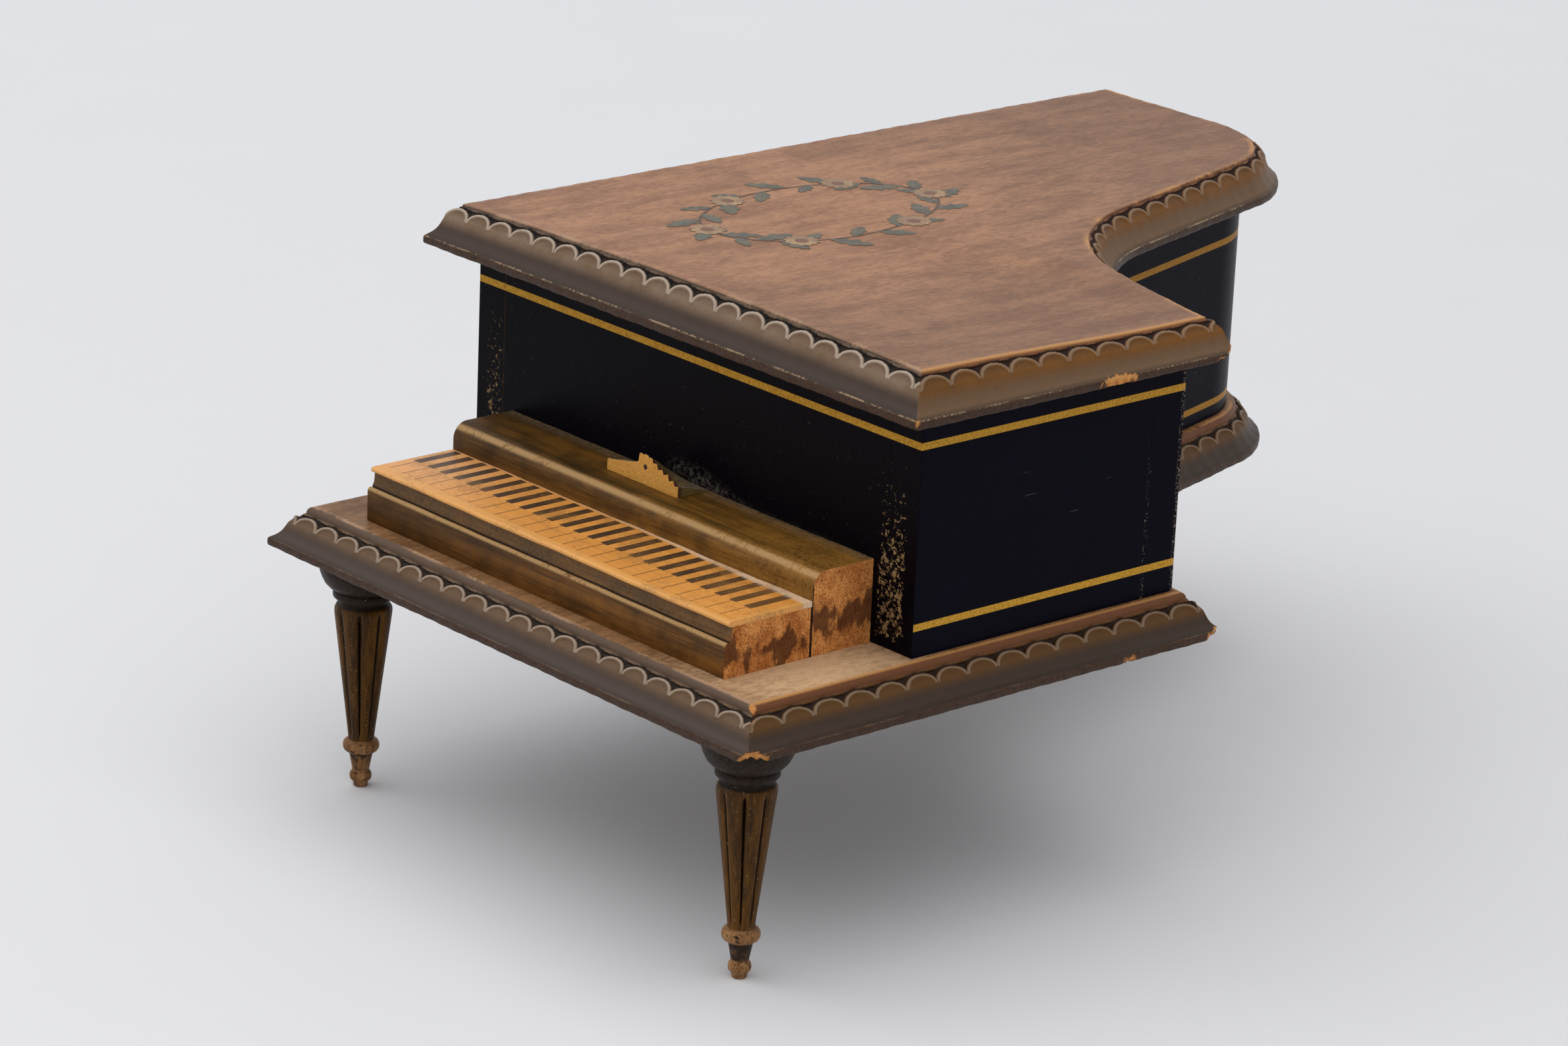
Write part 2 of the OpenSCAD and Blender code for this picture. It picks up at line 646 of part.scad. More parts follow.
// Cast bedplate with the riser that carries the comb
module bedplate() color("#b9b4a2") in_movement() difference() {
    union() {
        linear_extrude(bed_t) {
            square([bed_l - 2 * bed_r, bed_w], center = true);
            square([bed_l, bed_w - 2 * bed_r], center = true);
            for (s = [-1, 1]) for (t = [-1, 1])
                translate([s * (bed_l / 2 - bed_r), t * (bed_w / 2 - bed_r)]) circle(r = bed_r);
        }
        translate([cyl_x - 1, comb_back_y - 0.8, 0])
            cube([cyl_l + 2, comb_heel + 0.6, comb_z]);
        translate([barrel_x, cyl_y, 0]) cylinder(r = wind_r + 3, h = bed_t + pass_gap / 2);
    }
    translate([barrel_x, cyl_y, -1]) cylinder(r = wind_r + run_fit, h = bed_t + 2);
    for (p = bed_screws) translate([p[0], p[1], -1]) cylinder(r = screw_r + seat_fit, h = bed_t + 2);
    for (p = small_screws) translate([p[0], p[1], -1])
        cylinder(r = small_screw_r + seat_fit, h = bed_t + 2);
    for (i = [0:2]) translate([comb_screw_x(i), comb_screw_y(), comb_z - 6])
        cylinder(r = comb_screw_r + seat_fit, h = 7);
    for (s = [-1, 1]) translate([barrel_x, cyl_y + s * pillar_y, -1])
        cylinder(r = pillar_screw_r + seat_fit, h = bed_t + 2);
}

function comb_screw_x(i) = cyl_x + cyl_l * (i + 0.5) / 3;
function comb_screw_y() = comb_back_y + comb_heel / 2;

module bedplate_screws() color("#8d8d90") in_movement() for (p = bed_screws)
    translate([p[0], p[1], bed_t]) slotted_screw(screw_r, screw_l, screw_head_r, screw_head_t);

// Spring barrel: a cup whose rim is cut into a crown of teeth
module spring_barrel() color("#b08d4a") in_movement() translate([barrel_x, cyl_y, 0]) difference() {
    rotate_extrude() difference() {
        translate([0, barrel_z]) square([barrel_r, crown_z + crown_up - barrel_z]);
        translate([-1, barrel_z - 1]) square([wind_r + run_fit + 1, 30]);
        translate([-1, barrel_z + barrel_floor]) square([barrel_in_r - cover_ledge + 1, 30]);
        translate([-1, cover_z]) square([barrel_in_r + 1, 30]);
    }
    for (i = [0:crown_teeth - 1]) rotate(360 * i / crown_teeth)
        translate([barrel_in_r - 1, -crown_slot / 2, crown_z - crown_down])
        cube([crown_w + 2, crown_slot, crown_down + crown_up + 1]);
}

module barrel_cover() color("#c2a25a") in_movement() translate([barrel_x, cyl_y, cover_z]) difference() {
    cylinder(r = barrel_in_r - seat_fit, h = cover_t);
    translate([0, 0, -1]) cylinder(r = wind_r + run_fit, h = cover_t + 2);
}

// Flat mainspring wound in the barrel, as one strip
module mainspring() color("#5c6068") in_movement() {
    low = barrel_z + barrel_floor + pass_gap / 2;
    steps = spring_turns * spring_steps;
    rise = (spring_out_r - spring_in_r) / steps;
    side = spring_t / 2;
    translate([barrel_x, cyl_y, low]) linear_extrude(cover_z - low - pass_gap / 2) polygon(concat(
        [for (i = [0:steps]) polar([spring_in_r + rise * i + side, 360 * i / spring_steps])],
        [for (i = [steps:-1:0]) polar([spring_in_r + rise * i - side, 360 * i / spring_steps])]));
}

module winding_arbor() color("#9a9ba0") in_movement() translate([barrel_x, cyl_y, 0]) union() {
    top = ratchet_z + ratchet_t + 0.6;
    low = key_top - key_hub_l;
    core_z = barrel_z + barrel_floor + pass_gap / 2;
    translate([0, 0, low]) cylinder(r = wind_r, h = top - low);
    translate([0, 0, core_z]) cylinder(r = arbor_core_r, h = cover_z - core_z - pass_gap / 2);
}

// Bridge over the barrel, with the posts of the click and its spring
module barrel_bridge() color("#c2a25a") in_movement() translate([barrel_x, cyl_y, bridge_z]) difference() {
    union() {
        linear_extrude(bridge_t) {
            square([bridge_w, 2 * pillar_y], center = true);
            for (s = [-1, 1]) translate([0, s * pillar_y]) circle(r = bridge_w / 2);
        }
        translate(polar(click_place)) cylinder(r = click_pivot_r, h = bridge_t + ratchet_t + 0.8);
    }
    translate([0, 0, -1]) cylinder(r = wind_r + run_fit, h = bridge_t + 2);
    for (s = [-1, 1]) translate([0, s * pillar_y, -1])
        cylinder(r = pillar_screw_r + seat_fit, h = bridge_t + 2);
    translate([click_post()[0], click_post()[1], -1]) cylinder(r = 0.7 + seat_fit, h = bridge_t + 2);
}

module bridge_pillars() color("#b08d4a") in_movement() for (s = [-1, 1])
    translate([barrel_x, cyl_y + s * pillar_y, bed_t]) difference() {
        cylinder(r = pillar_r, h = bridge_z - bed_t);
        translate([0, 0, -1]) cylinder(r = pillar_screw_r + seat_fit, h = bridge_z);
    }

module bridge_screws() color("#8d8d90") in_movement() for (s = [-1, 1])
    translate([barrel_x, cyl_y + s * pillar_y, bridge_top])
    slotted_screw(pillar_screw_r, bridge_top - 0.5, small_head_r, small_head_t);

module ratchet_wheel() color("#9a9ba0") in_movement() translate([barrel_x, cyl_y, ratchet_z]) difference() {
    linear_extrude(ratchet_t) polygon([for (i = [0:ratchet_teeth - 1])
        let (a = 360 * i / ratchet_teeth)
        each [polar([ratchet_in_r, a]), polar([ratchet_r, a])]]);
    translate([0, 0, -1]) cylinder(r = wind_r + run_fit, h = ratchet_t + 2);
}

// Outer corner of the click's beak, and the click's outer side where its spring bears
function click_out() = polar([ratchet_r + 1.1, click_a - 0.8]);
function click_side() =
    let (p = polar(click_place), q = click_out(), d = (p - q) / norm(p - q))
    [-d[1], d[0]];
function click_edge() = polar(click_place) + click_boss_r * click_side();
function click_post() = [-3, pillar_y - 2.1];

module click() color("#9a9ba0") in_movement() translate([barrel_x, cyl_y, ratchet_z]) difference() {
    linear_extrude(ratchet_t) union() {
        polygon([
            polar([ratchet_in_r + 0.2, click_a - 0.8]), polar([ratchet_r + 0.4, click_a - 13]),
            polar(click_place) - click_boss_r * 0.8 * click_side(), polar(click_place),
            click_edge(), click_out()]);
        translate(polar(click_place)) circle(r = click_boss_r);
    }
    translate(polar(click_place)) translate([0, 0, -1])
        cylinder(r = click_pivot_r + run_fit, h = ratchet_t + 2);
}

// Flat click spring that leans from its post on the click's outer side
module click_spring() color("#5c6068") in_movement() translate([barrel_x, cyl_y, 0]) {
    from = click_post();
    to = (click_out() + click_edge()) / 2 + click_gap * click_side();
    along = (to - from) / norm(to - from);
    flank = 0.2 * [-along[1], along[0]];
    translate([from[0], from[1], bridge_z]) cylinder(r = 0.7, h = bridge_t + pass_gap + eps);
    translate([0, 0, bridge_top + pass_gap]) {
        linear_extrude(ratchet_t * 0.7) polygon([from + flank, from - flank, to - flank, to + flank]);
        translate([from[0], from[1], 0]) cylinder(r = 1.1, h = ratchet_t);
    }
}

module bearing_left() color("#c2a25a") in_movement() difference() {
    union() {
        across(left_plate_x, plate_t) {
            translate([cyl_y - foot_w / 2, bed_t]) square([foot_w, axis_z - bed_t]);
            translate([cyl_y, axis_z]) circle(r = foot_w / 2);
        }
        translate([left_plate_x, cyl_y - foot_w / 2, bed_t]) cube([foot_l + plate_t, foot_w, plate_t]);
    }
    translate([left_plate_x - 1, cyl_y, axis_z]) rotate([0, 90, 0])
        cylinder(r = cyl_arbor_r + run_fit, h = plate_t + 2);
    translate(small_screws[0]) cylinder(r = small_screw_r + seat_fit, h = axis_z / 2);
}

module bearing_right() color("#c2a25a") in_movement() difference() {
    union() {
        across(right_plate_x, plate_t) {
            translate([cyl_y - foot_w / 2, bed_t]) square([foot_w, axis_z - bed_t]);
            translate([cyl_y, axis_z]) circle(r = foot_w / 2);
            translate([cyl_y, axis_z]) rotate(train_a) translate([0, -3]) square([train_d, 6]);
            translate([transfer_y, transfer_z]) circle(r = 3);
        }
        translate([right_plate_x - foot_l, cyl_y - foot_w / 2, bed_t])
            cube([foot_l + plate_t, foot_w, plate_t]);
    }
    translate([right_plate_x - 1, cyl_y, axis_z]) rotate([0, 90, 0])
        cylinder(r = cyl_arbor_r + run_fit, h = plate_t + 2);
    translate([right_plate_x - 1, transfer_y, transfer_z]) rotate([0, 90, 0])
        cylinder(r = transfer_arbor_r + run_fit, h = plate_t + 2);
    translate(small_screws[1]) cylinder(r = small_screw_r + seat_fit, h = axis_z / 2);
}

module bracket_screws() color("#8d8d90") in_movement() {
    heights = [plate_t, plate_t, frame_foot];
    for (i = [0:2]) translate([small_screws[i][0], small_screws[i][1], bed_t + heights[i]])
        slotted_screw(small_screw_r, bed_t + heights[i] - 0.4, small_head_r, small_head_t);
}

module pinned_cylinder() color("#c9a95c") in_movement()
translate([cyl_x, cyl_y, axis_z]) rotate([0, 90, 0]) difference() {
    cylinder(r = cyl_r, h = cyl_l);
    translate([0, 0, -1]) cylinder(r = cyl_arbor_r + seat_fit / 2, h = cyl_l + 2);
}

// Music pins: one track for each comb tooth, spread round by the golden angle
module cylinder_pins() color("#d8d8dc") in_movement() translate([cyl_x, cyl_y, axis_z]) {
    pins = 5;
    for (i = [0:comb_teeth - 1]) for (j = [0:pins - 1])
        translate([0.3 + comb_pitch * (i + 0.5), 0, 0])
        rotate([137.508 * i + 360 / pins * j + 23 * sin(77 * i + 131 * j), 0, 0])
        translate([0, 0, cyl_r]) cylinder(r = pin_r, h = pin_h, $fn = 16);
}

module cylinder_arbor() color("#9a9ba0") in_movement()
    translate([barrel_x + crown_r - crown_w / 2 - 0.4, cyl_y, axis_z]) rotate([0, 90, 0])
    cylinder(r = cyl_arbor_r, h = cyl_gear_x + cyl_gear_t + 0.5 - (barrel_x + crown_r - crown_w / 2 - 0.4));

module cylinder_pinion() color("#9a9ba0") in_movement() translate([0, cyl_y, axis_z]) difference() {
    across(barrel_x + crown_r - crown_w / 2 + 0.15, crown_w - 0.3) difference() {
        rotate(-90) gear_shape(pinion_teeth, 2 * pinion_r / pinion_teeth, 0.66, 0.36, 0.5, 0.9);
        circle(r = cyl_arbor_r + seat_fit / 2);
    }
}

module cylinder_gear() color("#c2a25a") in_movement() translate([0, cyl_y, axis_z])
    across(cyl_gear_x, cyl_gear_t) difference() {
        rotate(train_a) gear_shape(cyl_gear_teeth, train_m, 0.5, 0.24, 0.34, 0.5);
        circle(r = cyl_arbor_r + seat_fit / 2);
    }

// Steel comb: one plate with a heel, slit into tapering teeth
module comb() color("#a9abb0") in_movement() difference() {
    translate([cyl_x + 0.3, 0, 0]) rotate([90, 0, 90]) linear_extrude(cyl_l - 0.6) polygon([
        [comb_back_y, comb_z], [comb_root_y, comb_z], [comb_root_y, axis_z - tooth_t / 2],
        [comb_tip_y, axis_z - tooth_t / 3], [comb_tip_y, axis_z + tooth_t / 3],
        [comb_root_y, axis_z + tooth_t / 2], [comb_root_y - 0.8, comb_z + comb_heel_t],
        [comb_back_y, comb_z + comb_heel_t]]);
    for (i = [1:comb_teeth - 1]) {
        cut = comb_reach * (1 - 0.32 * i / comb_teeth);
        translate([cyl_x + 0.3 + comb_pitch * i - comb_slit / 2, comb_tip_y - cut, comb_z - 1])
            cube([comb_slit, cut + 1, comb_heel_t + 2]);
    }
    for (i = [0:2]) translate([comb_screw_x(i), comb_screw_y(), 0])
        cylinder(r = comb_screw_r + seat_fit, h = 2 * axis_z);
}

module comb_screws() color("#8d8d90") in_movement() for (i = [0:2])
    translate([comb_screw_x(i), comb_screw_y(), comb_z + comb_heel_t])
    slotted_screw(comb_screw_r, comb_heel_t + comb_screw_grip, small_head_r, small_head_t);

// Governor frame: an upright wall with arms for the worm and the pin of the stop lever
module governor_frame() color("#c2a25a") in_movement() difference() {
    arm_l = frame_x + plate_t - worm_x + frame_arm_tip;
    union() {
        across(frame_x, plate_t) translate([transfer_y - frame_side, bed_t])
            square([frame_w, frame_arm_z + frame_arm_t - bed_t]);
        translate([worm_x - frame_arm_tip, worm_y - frame_arm_d / 2, bed_t])
            cube([arm_l, frame_arm_d, frame_foot]);
        translate([worm_x - frame_arm_tip, worm_y - frame_arm_d / 2, frame_arm_z])
            cube([arm_l, frame_arm_d, frame_arm_t]);
        translate([worm_x - stop_t / 2 - 0.5, stop_y, stop_z]) rotate([0, 90, 0])
            cylinder(r = stop_pivot_r, h = frame_x - worm_x + stop_t / 2 + 0.5 + plate_t / 2);
    }
    translate([worm_x, worm_y, 0]) cylinder(r = worm_pivot_r + run_fit, h = frame_arm_z + frame_arm_t + 1);
    translate([frame_x - 1, transfer_y, transfer_z]) rotate([0, 90, 0])
        cylinder(r = transfer_arbor_r + run_fit, h = plate_t + 2);
    translate(small_screws[2]) cylinder(r = small_screw_r + seat_fit, h = fan_z);
}

// Transfer arbor with its pinion cut on it
module transfer_arbor() color("#9a9ba0") in_movement() translate([0, transfer_y, transfer_z]) union() {
    translate([right_plate_x, 0, 0]) rotate([0, 90, 0])
        cylinder(r = transfer_arbor_r, h = frame_x + plate_t - right_plate_x);
    across(cyl_gear_x - 0.3, cyl_gear_t + 0.6) rotate(train_a + 180 + 180 / transfer_teeth)
        gear_shape(transfer_teeth, train_m, 0.5, 0.22, 0.32, 0.5);
}

module worm_wheel() color("#c2a25a") in_movement() translate([0, transfer_y, transfer_z])
    across(wheel_x, wheel_t) difference() {
        gear_shape(wheel_teeth, train_m, 0.42, 0.24, 0.32, 0.5);
        circle(r = transfer_arbor_r + seat_fit / 2);
    }

// Worm: the radius of its thread at a height and an angle, with the groove at the wheel's middle
worm_steps = 10;
worm_sides = 16;
function worm_ramp(phase) = min(1, max(0, (0.31 - abs(phase - 0.5)) / 0.14));
function worm_radius(turn, angle) =
    let (phase = turn + 0.25 - angle / 360)
    worm_root_r + (worm_tip_r - worm_root_r) * worm_ramp(phase - floor(phase));

module worm() color("#9a9ba0") in_movement() translate([worm_x, worm_y, 0]) {
    rows = worm_turns * worm_steps;
    low = transfer_z - worm_turns * worm_lead / 2;
    points = [for (j = [0:rows]) for (i = [0:worm_sides - 1])
        let (
            turn = j / worm_steps - worm_turns / 2,
            angle = 360 * i / worm_sides,
            end = min(j, rows - j) < worm_steps / 2,
            r = end ? worm_root_r : worm_radius(turn - 0.5, angle))
        [r * cos(angle), r * sin(angle), low + worm_lead * j / worm_steps]];
    sides = [for (j = [0:rows - 1]) for (i = [0:worm_sides - 1])
        let (a = j * worm_sides + i, b = j * worm_sides + (i + 1) % worm_sides)
        each [[a, a + worm_sides, b], [b, a + worm_sides, b + worm_sides]]];
    ends = [[for (i = [0:worm_sides - 1]) i], [for (i = [worm_sides - 1:-1:0]) rows * worm_sides + i]];
    polyhedron(points, concat(ends, sides), convexity = 8);
    shaft_z = bed_t + frame_foot + pass_gap;
    translate([0, 0, bed_t + 0.1]) cylinder(r = worm_pivot_r, h = frame_foot + 0.3);
    translate([0, 0, shaft_z]) cylinder(r = worm_shaft_r, h = frame_arm_z - pass_gap - shaft_z);
    translate([0, 0, disc_z]) cylinder(r = disc_r, h = disc_t);
    translate([0, 0, frame_arm_z - pass_gap]) cylinder(r = worm_pivot_r, h = frame_arm_t + pass_gap);
}

// Air-brake fan of two thin wings on a hub
module governor_fan() color("#d0c08a") in_movement() translate([worm_x, worm_y, fan_z]) difference() {
    union() {
        cylinder(r = worm_shaft_r + 0.9, h = fan_h);
        translate([-fan_r, -0.2, 0]) cube([2 * fan_r, 0.4, fan_h]);
    }
    translate([0, 0, -1]) cylinder(r = worm_shaft_r + seat_fit / 2, h = fan_h + 2);
}

module stop_lever() color("#7b7d82") in_movement() difference() {
    across(worm_x - stop_t / 2, stop_t) {
        in_edge = worm_y + disc_r + 0.45;
        translate([stop_y, stop_z]) circle(r = stop_boss_r);
        translate([in_edge, stop_z]) square([stop_w, stop_bend_z - stop_z]);
        translate([worm_y + disc_r + 0.12, disc_z - 0.6]) square([stop_w, disc_t + 1.2]);
        polygon([
            [in_edge + stop_w, stop_bend_z - stop_w], [in_edge + stop_w, stop_bend_z],
            [stop_tip[0] + stop_w / 2, stop_tip[1]], [stop_tip[0] - stop_w / 2, stop_tip[1] - stop_w / 2],
            [in_edge, stop_bend_z - stop_w]]);
        translate(stop_tip) circle(r = stop_w / 2);
    }
    translate([worm_x - stop_t, stop_y, stop_z]) rotate([0, 90, 0])
        cylinder(r = stop_pivot_r + run_fit, h = 2 * stop_t);
}

// Winding key: a hub on the arbor with two pierced wings
module winding_key() color("#a58b52") in_movement() translate([barrel_x, cyl_y, 0]) difference() {
    wing_x = key_w / 2 - key_wing_r;
    wing_z = key_top - key_hub_l - key_wing_r * 0.35;
    union() {
        translate([0, 0, key_top - key_hub_l]) cylinder(r = key_hub_r, h = key_hub_l);
        translate([0, key_t / 2, wing_z]) rotate([90, 0, 0]) linear_extrude(key_t) difference() {
            union() {
                for (s = [-1, 1]) translate([s * wing_x, 0]) circle(r = key_wing_r);
                translate([-wing_x, -key_wing_r * 0.55]) square([2 * wing_x, key_wing_r * 1.3]);
            }
            for (s = [-1, 1]) translate([s * wing_x, 0]) circle(r = key_wing_r * 0.5);
        }
    }
    translate([0, 0, key_top - key_hub_l - eps]) cylinder(r = wind_r + seat_fit / 2, h = key_hub_l + 1);
}

base_board();
front_panel();
cheek_panel();
bentside_panel();
tail_panel();
spine_panel();
partition();
lid();
keyboard_block();
key_strip();
fallboard_block();
music_desk();
leg_front_left();
leg_front_right();
leg_rear();
hinge_case_leaves();
hinge_lid_leaves();
hinge_pins();
hinge_case_screws();
hinge_lid_screws();
bedplate();
bedplate_screws();
spring_barrel();
barrel_cover();
mainspring();
winding_arbor();
barrel_bridge();
bridge_pillars();
bridge_screws();
ratchet_wheel();
click();
click_spring();
bearing_left();
bearing_right();
bracket_screws();
pinned_cylinder();
cylinder_pins();
cylinder_arbor();
cylinder_pinion();
cylinder_gear();
comb();
comb_screws();
governor_frame();
transfer_arbor();
worm_wheel();
worm();
governor_fan();
stop_lever();
winding_key();
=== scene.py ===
# Musical box in the form of a grand piano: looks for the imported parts, piece by piece in assembly order.
# All lengths are millimetres in the row frame, unless a line says otherwise.
import math

import bmesh
import bpy
import numpy as np
from mathutils import Matrix, Vector
from mathutils.bvhtree import BVHTree


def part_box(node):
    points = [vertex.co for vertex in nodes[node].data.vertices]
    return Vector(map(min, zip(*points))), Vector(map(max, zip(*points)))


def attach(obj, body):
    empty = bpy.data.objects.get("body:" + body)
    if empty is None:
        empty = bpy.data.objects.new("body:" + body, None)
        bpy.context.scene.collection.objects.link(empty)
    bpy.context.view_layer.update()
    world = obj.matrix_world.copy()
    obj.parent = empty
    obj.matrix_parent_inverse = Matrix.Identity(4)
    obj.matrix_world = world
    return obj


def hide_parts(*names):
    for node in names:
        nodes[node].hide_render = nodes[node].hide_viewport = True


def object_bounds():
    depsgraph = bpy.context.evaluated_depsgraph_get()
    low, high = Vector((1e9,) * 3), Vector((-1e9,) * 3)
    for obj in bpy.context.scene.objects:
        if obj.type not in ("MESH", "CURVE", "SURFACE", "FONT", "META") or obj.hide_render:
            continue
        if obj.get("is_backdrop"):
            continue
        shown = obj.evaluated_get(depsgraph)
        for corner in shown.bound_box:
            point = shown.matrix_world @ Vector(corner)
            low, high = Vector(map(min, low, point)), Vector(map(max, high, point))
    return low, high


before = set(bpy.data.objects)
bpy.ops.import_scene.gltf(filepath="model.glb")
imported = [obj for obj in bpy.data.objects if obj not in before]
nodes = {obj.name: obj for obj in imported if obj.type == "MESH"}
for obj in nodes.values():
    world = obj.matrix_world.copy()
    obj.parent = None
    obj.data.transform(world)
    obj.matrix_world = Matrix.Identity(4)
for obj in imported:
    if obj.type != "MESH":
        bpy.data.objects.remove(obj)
cad_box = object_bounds()
scene = bpy.context.scene
scene.view_settings.view_transform = "Standard"

# Camera: stands on the treble side, a little above the object, and leans by a small roll.
# Its aim and its distance are in metres.
camera_aim = Vector((0, -0.05062, 0.07436))
camera_away = 1.28083
turn = math.radians(48.36)
rise = math.radians(18.67)
roll = math.radians(2.51)
back = Vector((math.sin(turn) * math.cos(rise), -math.cos(turn) * math.cos(rise), math.sin(rise)))
level = Vector((math.cos(turn), math.sin(turn), 0))
upright = back.cross(level)
right = math.cos(roll) * level + math.sin(roll) * upright
up = math.cos(roll) * upright - math.sin(roll) * level
camera = bpy.data.objects.new("camera", bpy.data.cameras.new("camera"))
scene.collection.objects.link(camera)
camera.data.sensor_width = 36
camera.data.lens = 123.07
camera.matrix_world = Matrix((right, up, back)).transposed().to_4x4()
camera.location = camera_aim + camera_away * back
scene.camera = camera


# Floor: one sheet of pale grey paper that lies flat under the feet.
# It is very slightly flecked, and painted lighter further away, a painted gradient of light.
def plug(tree, socket, value):
    """Links a socket to another, or sets its value."""
    if isinstance(value, bpy.types.NodeSocket):
        tree.links.new(value, socket)
    else:
        socket.default_value = value


def calc(tree, operation, *values):
    """One step of arithmetic."""
    step = tree.nodes.new("ShaderNodeMath")
    step.operation = operation
    for socket, value in zip(step.inputs, values):
        plug(tree, socket, value)
    return step.outputs[0]


def times(tree, a, b):
    """Product."""
    return calc(tree, "MULTIPLY", a, b)


def plus(tree, a, b):
    """Sum."""
    return calc(tree, "ADD", a, b)


def minus(tree, a, b):
    """Difference."""
    return calc(tree, "SUBTRACT", a, b)


def blend(tree, share, under, over):
    """Colour between two others."""
    step = tree.nodes.new("ShaderNodeMix")
    step.data_type = "RGBA"
    plug(tree, step.inputs[0], share)
    plug(tree, step.inputs[6], under)
    plug(tree, step.inputs[7], over)
    return step.outputs[2]


def span(tree, value, start, end):
    """Smooth step from 0 at start to 1 at end."""
    step = tree.nodes.new("ShaderNodeMapRange")
    step.interpolation_type = "SMOOTHSTEP"
    for socket, number in zip(step.inputs, (value, start, end, 0.0, 1.0)):
        plug(tree, socket, number)
    return step.outputs[0]


def node_group(name, inputs, outputs):
    """New node group with named sockets: the group, what comes into it, and where its results go."""
    group = bpy.data.node_groups.new(name, "ShaderNodeTree")
    for side, sockets in (("INPUT", inputs), ("OUTPUT", outputs)):
        for label, kind in sockets.items():
            group.interface.new_socket(label, in_out=side, socket_type="NodeSocket" + kind)
    return group, group.nodes.new("NodeGroupInput").outputs, group.nodes.new("NodeGroupOutput").inputs


def placed(tree, group, *values):
    """Outputs of a node group that is placed in a tree and fed with values."""
    step = tree.nodes.new("ShaderNodeGroup")
    step.node_tree = group
    for socket, value in zip(step.inputs, values):
        plug(tree, socket, value)
    return step.outputs


# Shared tint: stain, dust, dirt, wear, painted shade or painted light that comes in as a value goes from
# start to end
tint_inputs = {
    "Colour": "Color", "Over": "Color", "By": "Float", "Start": "Float", "End": "Float", "Share": "Float"}
tint_group, entry, leave = node_group("tint", tint_inputs, {"Colour": "Color"})
tint_share = times(tint_group, span(tint_group, entry["By"], entry["Start"], entry["End"]), entry["Share"])
plug(tint_group, leave["Colour"], blend(tint_group, tint_share, entry["Colour"], entry["Over"]))


def tint(tree, colour, over, by, start, end, share=1.0):
    """Colour that turns into another, by a share, as a value goes from start to end."""
    return placed(tree, tint_group, colour, over, by, start, end, share)["Colour"]


def noise(tree, where, scale, detail=3.0, rough=0.55):
    """Cloudy noise, with a scale per millimetre."""
    step = tree.nodes.new("ShaderNodeTexNoise")
    step.inputs["Scale"].default_value = scale
    step.inputs["Detail"].default_value = detail
    step.inputs["Roughness"].default_value = rough
    tree.links.new(where, step.inputs["Vector"])
    return step.outputs[0]


def place(tree, factors=(1, 1, 1)):
    """Place on the object in millimetres, stretched by the factors."""
    coords = tree.nodes.new("ShaderNodeTexCoord").outputs["Object"]
    step = tree.nodes.new("ShaderNodeVectorMath")
    step.operation = "MULTIPLY"
    step.inputs[1].default_value = [1000 * f for f in factors]
    tree.links.new(coords, step.inputs[0])
    return step.outputs[0]


def axes(tree, where):
    """The three numbers of a place."""
    step = tree.nodes.new("ShaderNodeSeparateXYZ")
    tree.links.new(where, step.inputs[0])
    return step.outputs


def tone(text):
    """Linear colour of a hex triplet."""
    values = [int(text[i:i + 2], 16) / 255 for i in (0, 2, 4)]
    return [v / 12.92 if v < 0.04045 else ((v + 0.055) / 1.055) ** 2.4 for v in values] + [1.0]


def material(name):
    """New node material and its tree."""
    made = bpy.data.materials.new(name)
    made.use_nodes = True
    return made, made.node_tree


def surface(tree, colour, rough, height=None, depth=0.0):
    """Feeds the shader; depth is the bump's height in millimetres."""
    shader = tree.nodes["Principled BSDF"]
    plug(tree, shader.inputs["Base Color"], colour)
    plug(tree, shader.inputs["Roughness"], rough)
    if height is not None:
        bump = tree.nodes.new("ShaderNodeBump")
        bump.inputs["Strength"].default_value = 1.0
        bump.inputs["Distance"].default_value = depth / 1000
        plug(tree, bump.inputs["Height"], height)
        tree.links.new(bump.outputs[0], shader.inputs["Normal"])
    return shader


floor_mesh = bpy.data.meshes.new("floor")
floor_reach = 4
floor_corners = [(floor_reach * x, floor_reach * y, 0) for x, y in ((-1, -1), (1, -1), (1, 1), (-1, 1))]
floor_mesh.from_pydata(floor_corners, [], [(0, 1, 2, 3)])
floor = bpy.data.objects.new("floor", floor_mesh)
scene.collection.objects.link(floor)
floor_paper, tree = material("floor_paper")
spot = axes(tree, place(tree))
away = minus(tree, times(tree, spot[1], 0.667), times(tree, spot[0], 0.745))
# painted light: the paper turns lighter further from the camera
paper = tint(tree, tone("e3e3e4"), tone("f5f6f8"), away, 300.0, 1400.0)
fleck = noise(tree, place(tree), 0.02, 4.0)
paper = blend(tree, times(tree, fleck, 0.1), paper, tone("cccccf"))
surface(tree, paper, 0.85)
floor_mesh.materials.append(floor_paper)
floor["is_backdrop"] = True


# Light: a bright room, with one broad soft lamp overhead on the treble side and a weak one on the left.
# Camera and mirror rays see the room a little brighter than what lights the object.
def larger(tree, a, b):
    """The larger of two values."""
    return calc(tree, "MAXIMUM", a, b)


